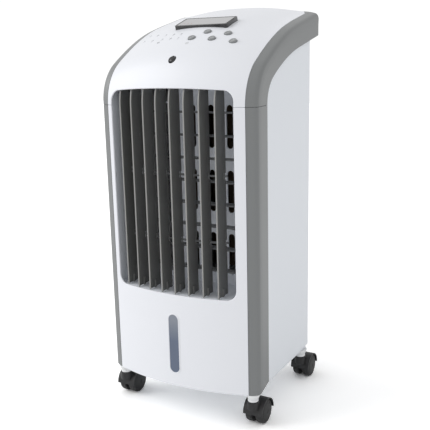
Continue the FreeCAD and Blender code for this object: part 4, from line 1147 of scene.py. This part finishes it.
@dataclass
class ControlDeck:
    """Display, keys, printed marks and the remote receiver."""

    lines: BodyLines
    first_key: float = 0.0034
    key_pitch: float = 0.0159
    key_low: float = math.radians(62.4)
    key_high: float = math.radians(65.6)
    key_radius: float = 0.0054
    key_proud: float = 0.0018
    key_dish: float = 0.0006
    key_skirt: float = 0.0034
    key_flange: float = 0.0014
    key_foot: float = 0.0048
    key_print: float = 0.00042
    display_x: float = -0.0015
    display_half: float = 0.0435
    display_tip: float = math.radians(71.4)
    display_length: float = 0.037
    display_proud: float = 0.003
    display_sink: float = 0.008
    display_frame: float = 0.003
    display_corner: float = 0.003
    panel_gap: float = 0.0002
    panel_corner: float = 0.0015
    panel_depth: float = 0.0011
    panel_drop: float = 0.0001
    lamp_pitch: float = 0.006
    lamp_radius: float = 0.0007
    lamp_bore: float = 0.0002
    receiver_x: float = -0.003
    receiver_tip: float = math.radians(45.0)
    receiver_radius: float = 0.0052
    mark_height: float = 0.00008
    mark_radius: float = 0.0014
    mark_growth: float = 0.0003
    mark_drop: float = 0.0034
    bar_width: float = 0.0006
    mark_columns: tuple[float, ...] = (-0.094, -0.073, -0.052, -0.036, -0.022)
    mark_rows: tuple[MarkRow, ...] = (
        MarkRow((0.141, 0.1305, 0.1215, 0.118, 0.116), 0.0, 0.4, 0.0034),
        MarkRow((0.120, 0.111, 0.107, 0.1045, 0.1035), 0.002, 0.55, 0.0028),
    )

    def key_spots(self) -> list[tuple[float, float]]:
        """Return x and tip of each key."""
        spots = []
        for index in range(5):
            tip = self.key_high if index % 2 else self.key_low
            spots.append((self.first_key + self.key_pitch * index, tip))
        return spots

    def bores(self) -> list[tuple[float, float]]:
        """Return x and travel of each key's bore in the cover."""
        lines = self.lines
        return [
            (x, lines.nose_end + (tip - lines.nose_turn) * lines.crown_radius)
            for x, tip in self.key_spots()
        ]

    def build_keys(self) -> None:
        """Build five round keys with a dished face and a printed ring or bar."""
        radius = self.key_radius
        top = self.key_proud
        for index, (x, tip) in enumerate(self.key_spots(), start=1):
            point, _, outward = self.lines.frame_at(x, tip)
            profile = [
                (0.0, top - self.key_dish),
                (radius * 0.35, top - 0.00055),
                (radius * 0.62, top - 0.00035),
                (radius * 0.80, top),
                (radius * 0.90, top - 0.00008),
                (radius * 0.97, top - 0.0004),
                (radius, top - 0.0009),
                (radius, -self.key_skirt),
                (radius + self.key_flange, -self.key_skirt),
                (radius + self.key_flange, -self.key_foot),
                (0.0, -self.key_foot),
            ]
            bm = lay(spin_profile(profile), point, Vector((1, 0, 0)), outward)
            body = f"key_{index}"
            settle(bm, f"key_cap_{index}", KEY_GREY, body, [f"button_{index}"])
            mark = self.ring(0.0015, 0.0019) if index % 2 else self.bar(0.0034, 0.0005)
            lay(mark, point + outward * (top - self.key_print), Vector((1, 0, 0)), outward)
            settle(mark, f"key_mark_{index}", KEY_PRINT, body)

    def ring(self, inner: float, outer: float, sides: int = 24) -> BMesh:
        """A flat printed ring with a thin edge."""
        top = self.mark_height
        return spin_ring([(inner, 0.0), (inner, top), (outer, top), (outer, 0.0)], sides)

    def bar(self, length: float, width: float) -> BMesh:
        """A flat printed bar with rounded ends."""
        return rounded_plate(length / 2.0, width / 2.0, width * 0.48, 0.0, self.mark_height, 3)

    def place_mark(self, target: BMesh, mark: BMesh, x: float, travel: float) -> None:
        """Lay one printed mark on the cover.

        Args:
            target: Bmesh that gathers the marks.
            mark: The mark, made flat about its middle.
            x: Place across the body.
            travel: Travel from the split line.
        """
        lines = self.lines
        step = 0.001
        point = lines.skin(x, travel)
        across = lines.skin(x + step, travel) - lines.skin(x - step, travel)
        along = lines.skin(x, travel + step) - lines.skin(x, travel - step)
        lay(mark, point, across, across.cross(along))
        merge_into(target, mark)

    def build_marks(self) -> None:
        """Build the two rows of generic printed marks left of the keys."""
        bm = bmesh.new()
        for column, x in enumerate(self.mark_columns):
            size = self.mark_radius + self.mark_growth * (column % 2)
            for row in self.mark_rows:
                place, travel = x + row.shift, row.travels[column]
                self.place_mark(bm, self.ring(size * row.inner_share, size), place, travel)
                bar = self.bar(row.bar_length, self.bar_width)
                self.place_mark(bm, bar, place, travel - self.mark_drop)
        self.place_mark(bm, self.ring(0.0008, 0.0022), -0.052, 0.0975)
        settle(bm, "printed_marks", PRINT_GREY)
        disc = bmesh.new()
        self.place_mark(disc, self.ring(0.0004, 0.0030), 0.003, 0.087)
        settle(disc, "printed_disc", PRINT_PALE)

    def build_display(self) -> None:
        """Build the raised display: black surround, mirror panel and three small lamps."""
        lines = self.lines
        travel = lines.nose_end + (self.display_tip - lines.nose_turn) * lines.crown_radius
        _, outward = lines.axes(self.display_tip)
        point = lines.edge(travel) + Vector((self.display_x, 0.0, 0.0)) + outward * lines.bow
        half = self.display_half
        reach = self.display_length / 2.0
        across = Vector((1, 0, 0))
        proud = self.display_proud
        frame = rounded_plate(half, reach, self.display_corner, -self.display_sink, proud)
        top = max(frame.faces, key=lambda face: face.calc_center_median().z)
        bmesh.ops.inset_individual(frame, faces=[top], thickness=self.display_frame)
        bmesh.ops.translate(frame, vec=(0.0, 0.0, -self.panel_depth), verts=top.verts[:])
        lay(frame, point, across, outward)
        bezel = settle(frame, "display_surround", BEZEL_BLACK, stands_for=["display_bezel"])
        EdgeRound(0.0005, 2).apply_to(bezel)
        rim = self.display_frame + self.panel_gap
        face_height = proud - self.panel_drop
        panel = rounded_plate(
            half - rim, reach - rim, self.panel_corner, proud - self.panel_depth, face_height
        )
        lay(panel, point, across, outward)
        face = settle(panel, "display_panel", PANEL_MIRROR, stands_for=["display_lens"])
        EdgeRound(0.0002, 2).apply_to(face)
        lamps = bmesh.new()
        for step in range(3):
            lamp = self.ring(self.lamp_bore, self.lamp_radius, 12)
            shift = Vector((self.lamp_pitch * step - half * 0.72, -reach * 0.45, face_height))
            bmesh.ops.translate(lamp, vec=shift, verts=lamp.verts[:])
            merge_into(lamps, lamp)
        lay(lamps, point, across, outward)
        settle(lamps, "display_lamps", LAMP_RED)

    def build_receiver(self) -> None:
        """Build the dark dome of the remote receiver."""
        point, _, outward = self.lines.frame_at(self.receiver_x, self.receiver_tip)
        radius = self.receiver_radius
        profile = [
            (0.0, 0.0008),
            (radius * 0.4, 0.00072),
            (radius * 0.72, 0.00045),
            (radius * 0.80, 0.0001),
            (radius * 0.86, 0.0005),
            (radius * 0.95, 0.00055),
            (radius, 0.0002),
            (radius, -0.0045),
            (0.0, -0.0045),
        ]
        bm = lay(spin_profile(profile), point, Vector((1, 0, 0)), outward)
        settle(bm, "receiver_dome", RECEIVER_BLACK, stands_for=["ir_receiver_lens"])

    def build(self) -> None:
        """Build everything on the deck."""
        self.build_keys()
        self.build_marks()
        self.build_display()
        self.build_receiver()


# ---------------------------------------------------------------- water window


@dataclass
class LevelWindow:
    """Clear slot in the front, with a rolled white rim."""

    lines: BodyLines
    foot: float = 0.073
    top: float = 0.163
    half: float = 0.008
    gap: float = 0.0002
    proud: float = 0.0002
    depth: float = 0.0034
    rim_width: float = 0.0020
    rim_proud: float = 0.0007

    def build(self) -> None:
        """Build the lens and its rim."""
        height = (self.foot + self.top) / 2.0
        half = self.half - self.gap
        reach = (self.top - self.foot) / 2.0 - self.gap
        bm = rounded_plate(half, reach, half * 0.999, 0.0, self.depth, 10)
        face = self.lines.front - self.lines.bow - self.proud
        lay(bm, Vector((0.0, face + self.depth, height)), Vector((1, 0, 0)), Vector((0, -1, 0)))
        lens = settle(bm, "window_lens", WINDOW_CLEAR, stands_for=["level_window"])
        EdgeRound(0.0007, 3).apply_to(lens)
        self.build_rim(height, reach)

    def build_rim(self, height: float, reach: float) -> None:
        """Build the rolled white rim round the slot.

        Args:
            height: Height of the slot's middle.
            reach: Half length of the slot.
        """
        wide = self.half + self.rim_width
        profile = [
            (self.half - 0.0001, -0.0014),
            (self.half - 0.0001, 0.0001),
            (self.half + self.rim_width * 0.20, self.rim_proud * 0.8),
            (self.half + self.rim_width * 0.45, self.rim_proud),
            (self.half + self.rim_width * 0.75, self.rim_proud * 0.7),
            (wide, -0.0001),
            (wide, -0.0014),
        ]
        sides = 48
        bm = spin_ring(profile, sides)
        half_step = Matrix.Rotation(math.pi / sides, 3, "Z")
        bmesh.ops.rotate(bm, cent=(0, 0, 0), matrix=half_step, verts=bm.verts[:])
        straight = reach - self.half
        for vert in bm.verts:
            vert.co.y += math.copysign(straight, vert.co.y)
        face = self.lines.front - self.lines.bow
        lay(bm, Vector((0.0, face, height)), Vector((1, 0, 0)), Vector((0, -1, 0)))
        settle(bm, "window_rim", SHELL_WHITE)


# ---------------------------------------------------------------- air outlet


@dataclass
class AirOutlet:
    """Duct, upright louvres, level vanes, the bars that link them, and the fan."""

    frame: dict
    lines: BodyLines
    edge_half: float = 0.0011
    edge_proud: float = 0.0002
    edge_depth: float = 0.0014
    edge_foot: float = 0.005
    edge_reach: float = 0.026
    rounding: EdgeRound = field(default_factory=lambda: EdgeRound(0.00055, 2, math.radians(45.0)))

    def build_edge(self, index: int) -> None:
        """Build the bead along the front edge of one blade, which follows the nose at its top; its lighter
        grey is a painted highlight of the edge catching light.

        Args:
            index: Number of the blade, from the left.
        """
        low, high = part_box(f"louvre_blade_{index}")
        middle = (low.x + high.x) / 2.0
        split = self.lines.split
        first = Vector((middle - self.edge_half, low.y - self.edge_proud, low.z + self.edge_foot))
        last = Vector((middle + self.edge_half, low.y + self.edge_depth, split + self.edge_reach))
        bm = block(first, last)
        for level in steps(split, split + self.edge_reach, 0.004)[:-1]:
            whole = bm.verts[:] + bm.edges[:] + bm.faces[:]
            bmesh.ops.bisect_plane(bm, geom=whole, plane_co=(0.0, 0.0, level), plane_no=(0.0, 0.0, 1.0))
        curve = self.lines.front + self.lines.nose_radius - low.y
        for vert in bm.verts:
            past = max(0.0, vert.co.z - split)
            vert.co.y += curve - math.sqrt(curve * curve - past * past)
        # The bead's lighter grey finish is a painted highlight along the blade's front edge.
        bead = settle(bm, f"louvre_bead_{index}", LOUVRE_EDGE_HIGHLIGHT, f"louvre_{index}")
        EdgeRound(0.0007, 3).apply_to(bead)

    def build(self) -> None:
        """Dress the duct, the links and the fan, and round the edges of every blade."""
        dress(self.frame, "outlet_duct", DUCT_GREY)
        for index in range(1, 9):
            self.build_edge(index)
            blade, vane = f"louvre_blade_{index}", f"vane_{index}"
            softened(self.frame, blade, LOUVRE_GREY, f"louvre_{index}", self.rounding)
            softened(self.frame, vane, VANE_GREY, f"vane_body_{index}", EdgeRound(0.0004))
        dress(self.frame, "louvre_link_rods", VANE_GREY)
        dress(self.frame, "vane_link", VANE_GREY)
        dress(self.frame, "fan_rotor", FAN_BLACK)
        dress(self.frame, "fan_motor", MOTOR_CASE)
        dress(self.frame, "swing_motor", MOTOR_CASE)


# ---------------------------------------------------------------- casters


@dataclass
class Caster:
    """Twin-wheel caster: hood, axle and wheels with caps."""

    frame: dict
    name: str
    wheel_radius: float = 0.018
    half_width: float = 0.0145
    gap: float = 0.0028
    axle_radius: float = 0.003
    axle_overlap: float = 0.0002

    def wheel_half(self) -> BMesh:
        """One of the two wheels, from the middle gap to its cap, about the Z axis."""
        rim = self.wheel_radius
        near = self.gap
        far = self.half_width
        profile = [
            (0.0, near),
            (rim - 0.0022, near),
            (rim - 0.0006, near + 0.0006),
            (rim, near + 0.0018),
            (rim, far - 0.0034),
            (rim - 0.0007, far - 0.0017),
            (rim - 0.0022, far - 0.0006),
            (rim - 0.0040, far - 0.0004),
            (rim - 0.0046, far - 0.0012),
            (rim - 0.0052, far - 0.0004),
            (rim - 0.0072, far),
            (0.0030, far),
            (0.0026, far - 0.0004),
            (0.0, far - 0.0004),
        ]
        return spin_profile(profile, 56)

    def build(self) -> None:
        """Build the wheels on their axle, and round the hood's edges."""
        low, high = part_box(self.name + "_wheels")
        centre = (low + high) / 2.0
        bm = bmesh.new()
        for side in (1.0, -1.0):
            half = lay(self.wheel_half(), centre, Vector((0, 1, 0)), Vector((side, 0, 0)))
            merge_into(bm, half)
        thick, reach = self.axle_radius, self.gap + self.axle_overlap
        axle = [(0.0, -reach), (thick, -reach), (thick, reach), (0.0, reach)]
        merge_into(bm, lay(spin_profile(axle, 20), centre, Vector((0, 1, 0)), Vector((1, 0, 0))))
        settle(bm, self.name + "_twin", TYRE_BLACK, self.name + "_pair", [self.name + "_wheels"])
        hood = EdgeRound(0.0006, 2, math.radians(40.0))
        softened(self.frame, self.name + "_fork", CASTER_BLACK, self.name, hood)


@dataclass
class CasterCollars:
    """White stem sockets under the floor, one above each caster."""

    names: tuple[str, ...]
    top_radius: float = 0.0105
    foot_radius: float = 0.0074
    bore: float = 0.0044

    def build(self) -> None:
        """Build the four tapered collars as one piece."""
        low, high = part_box("caster_sockets")
        bm = bmesh.new()
        tall = high.z - low.z
        for name in self.names:
            fork_low, fork_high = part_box(name + "_fork")
            x = (fork_low.x + fork_high.x) / 2.0
            front = name.startswith("caster_front")
            y = low.y + self.top_radius if front else high.y - self.top_radius
            profile = [
                (self.bore, 0.0),
                (self.foot_radius, 0.0),
                (self.foot_radius + 0.0004, 0.0004),
                (self.foot_radius + 0.0004, tall * 0.28),
                (self.foot_radius - 0.0002, tall * 0.32),
                (self.foot_radius + 0.0008, tall * 0.40),
                (self.top_radius, tall * 0.86),
                (self.top_radius, tall),
                (self.bore, tall),
            ]
            ring = spin_ring(profile, 36)
            bmesh.ops.translate(ring, vec=(x, y, low.z), verts=ring.verts[:])
            merge_into(bm, ring)
        settle(bm, "stem_collars", COLLAR_WHITE, stands_for=["caster_sockets"])


# ---------------------------------------------------------------- panels, rear and inside


@dataclass
class PanelSet:
    """Side panels, rear panel and floor of the housing."""

    frame: dict

    def build(self) -> None:
        """Round the edges of the flat panels."""
        panel = EdgeRound(0.0007, 3)
        softened(self.frame, "left_side_panel", SIDE_WHITE, rounding=panel)
        softened(self.frame, "right_side_panel", SIDE_WHITE, rounding=panel)
        softened(self.frame, "rear_panel", SIDE_WHITE, rounding=EdgeRound(0.0005, 2))
        softened(self.frame, "base_chassis", SIDE_WHITE, rounding=EdgeRound(0.0005, 2))


@dataclass
class RearIntake:
    """Lift-off intake frame with its dust net, the pad behind it and the screws."""

    frame: dict
    strand: float = 0.0005
    net_pitch: float = 0.0032
    net_margin: float = 0.002
    net_rim: float = 0.004
    pad_column: float = 0.0014
    pad_row: float = 0.006
    flute: float = 0.0016
    flute_pitch: float = 0.0075
    flute_slant: float = 0.55
    screw_radius: float = 0.0034
    screw_height: float = 0.0014
    cross_half: float = 0.0004
    cross_foot: float = 0.0010
    cross_top: float = 0.00145
    screw_inset: float = 0.016
    screw_foot: float = 0.008
    screw_top: float = 0.010

    def build_net(self) -> None:
        """Build the dust net from crossing strands inside a border."""
        low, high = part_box("dust_filter")
        middle = (low.y + high.y) / 2.0
        half = self.strand / 2.0
        bm = bmesh.new()
        margin = self.net_margin
        for x in steps(low.x + margin, high.x - margin, self.net_pitch):
            bar = block(Vector((x - half, middle - half, low.z)), Vector((x + half, middle + half, high.z)))
            merge_into(bm, bar)
        for z in steps(low.z + margin, high.z - margin, self.net_pitch):
            bar = block(Vector((low.x, middle, z - half)), Vector((high.x, middle + half * 2, z + half)))
            merge_into(bm, bar)
        rim = self.net_rim
        for x0, x1, z0, z1 in (
            (low.x, high.x, low.z, low.z + rim),
            (low.x, high.x, high.z - rim, high.z),
            (low.x, low.x + rim, low.z + rim, high.z - rim),
            (high.x - rim, high.x, low.z + rim, high.z - rim),
        ):
            merge_into(bm, block(Vector((x0, low.y, z0)), Vector((x1, high.y, z1))))
        settle(bm, "dust_net", NET_GREY, "filter", ["dust_filter"])

    def build_pad(self) -> None:
        """Build the cooling pad with slanting flutes on its two faces."""
        low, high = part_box("cooling_pad")
        columns = steps(low.x, high.x, self.pad_column)
        rows = steps(low.z, high.z, self.pad_row)
        flute = self.flute
        bm = grid_pattern(columns, rows)
        for vert in bm.verts:
            phase = (vert.co.x + (vert.co.y - low.z) * self.flute_slant) / self.flute_pitch
            wave = flute * math.sin(phase * math.tau)
            vert.co = Vector((vert.co.x, high.y - flute + wave, vert.co.y))
        edges = [edge for edge in bm.edges if edge.is_boundary]
        grown = bmesh.ops.extrude_edge_only(bm, edges=edges)["geom"]
        for vert in (item for item in grown if isinstance(item, BMVert)):
            vert.co.y = low.y + flute
        rim = [edge for edge in bm.edges if edge.is_boundary]
        bmesh.ops.edgeloop_fill(bm, edges=rim)
        bmesh.ops.recalc_face_normals(bm, faces=bm.faces[:])
        settle(bm, "fluted_pad", PAD_FIBRE, stands_for=["cooling_pad"])

    def build_screws(self) -> None:
        """Build the screws that hold the rear panel."""
        low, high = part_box("rear_panel")
        bm = bmesh.new()
        inset = self.screw_inset
        for z in (low.z + self.screw_foot, (low.z + high.z) / 2.0, high.z - self.screw_top):
            for x in (low.x + inset, high.x - inset):
                merge_into(bm, self.screw(Vector((x, high.y, z))))
        settle(bm, "rear_screws", STEEL, smooth_angle=30.0)

    def screw(self, seat: Vector) -> BMesh:
        """A pan-head screw with a thin cross on its head, seated on the rear panel."""
        radius = self.screw_radius
        profile = [
            (0.0, self.screw_height),
            (radius * 0.5, 0.0013),
            (radius * 0.8, 0.0010),
            (radius, 0.0004),
            (radius, -0.0004),
            (0.0, -0.0004),
        ]
        bm = spin_profile(profile, 24)
        low = Vector((-radius * 0.55, -self.cross_half, self.cross_foot))
        high = Vector((radius * 0.55, self.cross_half, self.cross_top))
        for turn in (0.0, math.pi / 2.0):
            arm = block(low, high)
            bmesh.ops.rotate(arm, cent=(0, 0, 0), matrix=Matrix.Rotation(turn, 3, "Z"), verts=arm.verts[:])
            merge_into(bm, arm)
        return lay(bm, seat, Vector((1, 0, 0)), Vector((0, 1, 0)))

    def build(self) -> None:
        """Build the rear of the cooler."""
        softened(self.frame, "rear_filter_frame", SIDE_WHITE, "filter", EdgeRound(0.0006, 2))
        self.build_net()
        self.build_pad()
        self.build_screws()
        softened(self.frame, "mains_gland", GLAND_GREY)


@dataclass
class WaterSide:
    """Tank, catch, pump, hose, drip tray and control board."""

    frame: dict

    def build(self) -> None:
        """Round the tank and its catch, and dress the rest."""
        softened(self.frame, "water_tank", TANK_MILK, "tank", EdgeRound(0.0009, 3))
        softened(self.frame, "tank_latch", SIDE_WHITE, "latch", EdgeRound(0.0006, 2))
        dress(self.frame, "water_pump", PUMP_BLUE)
        dress(self.frame, "water_riser_tube", HOSE_CLEAR)
        dress(self.frame, "drip_tray", SIDE_WHITE)
        dress(self.frame, "control_board", BOARD_GREEN)


# ---------------------------------------------------------------- studio


@dataclass
class Studio:
    """Pale floor, soft light and the camera."""

    eye: Vector = field(default_factory=lambda: Vector((0.5307, -0.9351, 0.5284)))
    yaw: float = math.radians(29.4)
    pitch: float = math.radians(12.8)
    roll: float = math.radians(-1.3)
    lens: float = 59.61
    sky_power: float = 0.80
    key_turn: float = math.radians(63.0)
    key_height: float = math.radians(30.0)
    key_spread: float = math.radians(50.0)
    key_power: float = 1.4
    sky_white: float = 1.05
    floor_tone: float = 0.93
    floor_gain: float = 1.3
    floor_reach: float = 6.0
    sensor_width: float = 36.0
    clip_start: float = 0.02

    def build_camera(self) -> None:
        """Place the camera and make it the scene's own."""
        yaw, pitch, roll = self.yaw, self.pitch, self.roll
        ahead = Vector((-math.sin(yaw) * math.cos(pitch), math.cos(yaw) * math.cos(pitch), -math.sin(pitch)))
        level = Vector((math.cos(yaw), math.sin(yaw), 0.0))
        above = level.cross(ahead)
        right = level * math.cos(roll) + above * math.sin(roll)
        up = above * math.cos(roll) - level * math.sin(roll)
        turn = Matrix((right, up, -ahead)).transposed().to_4x4()
        data = bpy.data.cameras.new("studio_camera")
        data.lens = self.lens
        data.sensor_width = self.sensor_width
        data.clip_start = self.clip_start
        camera = bpy.data.objects.new("studio_camera", data)
        bpy.context.scene.collection.objects.link(camera)
        camera.matrix_world = Matrix.Translation(self.eye) @ turn
        bpy.context.scene.camera = camera

    def build_floor(self) -> None:
        """Lay the pale floor."""
        bm = bmesh.new()
        bmesh.ops.create_grid(bm, x_segments=8, y_segments=8, size=self.floor_reach)
        mesh = bpy.data.meshes.new("studio_floor")
        bm.to_mesh(mesh)
        bm.free()
        material = bpy.data.materials.new("FloorPale")
        material.use_nodes = True
        tree = material.node_tree
        tree.nodes.remove(tree.nodes["Principled BSDF"])
        paint = tree.nodes.new("ShaderNodeBsdfDiffuse")
        ray = tree.nodes.new("ShaderNodeLightPath")
        tone = tree.nodes.new("ShaderNodeMix")
        tone.data_type = "RGBA"
        for socket, level in (("A", self.floor_tone), ("B", self.floor_gain)):
            tone.inputs[socket].default_value = (level, level, level, 1.0)
        tree.links.new(ray.outputs["Is Camera Ray"], tone.inputs["Factor"])
        tree.links.new(tone.outputs["Result"], paint.inputs["Color"])
        tree.links.new(paint.outputs["BSDF"], tree.nodes["Material Output"].inputs["Surface"])
        mesh.materials.append(material)
        floor = bpy.data.objects.new("studio_floor", mesh)
        bpy.context.scene.collection.objects.link(floor)

    def build_key(self) -> None:
        """Hang the broad soft key light, which comes from the front left."""
        turn, height = self.key_turn, self.key_height
        across = math.cos(height)
        towards = Vector((-math.sin(turn) * across, -math.cos(turn) * across, math.sin(height)))
        data = bpy.data.lights.new("key_light", "SUN")
        data.angle = self.key_spread
        data.energy = self.key_power
        lamp = bpy.data.objects.new("key_light", data)
        bpy.context.scene.collection.objects.link(lamp)
        lamp.location = towards * 3.0
        lamp.rotation_euler = towards.to_track_quat("Z", "Y").to_euler()

    def build_sky(self) -> None:
        """Surround the scene with even light that the camera sees as white."""
        world = bpy.data.worlds.new("studio_world")
        world.use_nodes = True
        sky = world.node_tree.nodes["Background"]
        sky.inputs["Color"].default_value = (1.0, 1.0, 1.0, 1.0)
        ray = world.node_tree.nodes.new("ShaderNodeLightPath")
        strength = world.node_tree.nodes.new("ShaderNodeMath")
        strength.operation = "MULTIPLY_ADD"
        strength.inputs[1].default_value = self.sky_white - self.sky_power
        strength.inputs[2].default_value = self.sky_power
        world.node_tree.links.new(ray.outputs["Is Camera Ray"], strength.inputs[0])
        world.node_tree.links.new(strength.outputs[0], sky.inputs["Strength"])
        bpy.context.scene.world = world

    def build(self) -> None:
        """Build the whole studio."""
        bpy.context.scene.view_settings.view_transform = "Standard"
        self.build_sky()
        self.build_key()
        self.build_floor()
        self.build_camera()


# ---------------------------------------------------------------- the whole cooler


def main() -> None:
    """Load the frame and build every sub-assembly in order."""
    logging.basicConfig(level=logging.INFO, format="%(message)s")
    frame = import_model()
    front_low, front_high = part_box("front_panel")
    trim_low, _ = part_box("left_trim_lower")
    lines = BodyLines(front=trim_low.y, skirt=front_low.z, split=front_high.z + 0.0003)
    deck = ControlDeck(lines)
    shell = WhiteShell(lines, deck.bores())
    shell.build_front()
    shell.build_cover()
    for side in Side:
        CornerTrim(lines, side).build()
    deck.build()
    LevelWindow(lines).build()
    PanelSet(frame).build()
    AirOutlet(frame, lines).build()
    names = ("caster_front_left", "caster_front_right", "caster_rear_left", "caster_rear_right")
    for name in names:
        Caster(frame, name).build()
    CasterCollars(names).build()
    RearIntake(frame).build()
    WaterSide(frame).build()
    Studio().build()


if __name__ == "__main__":
    main()
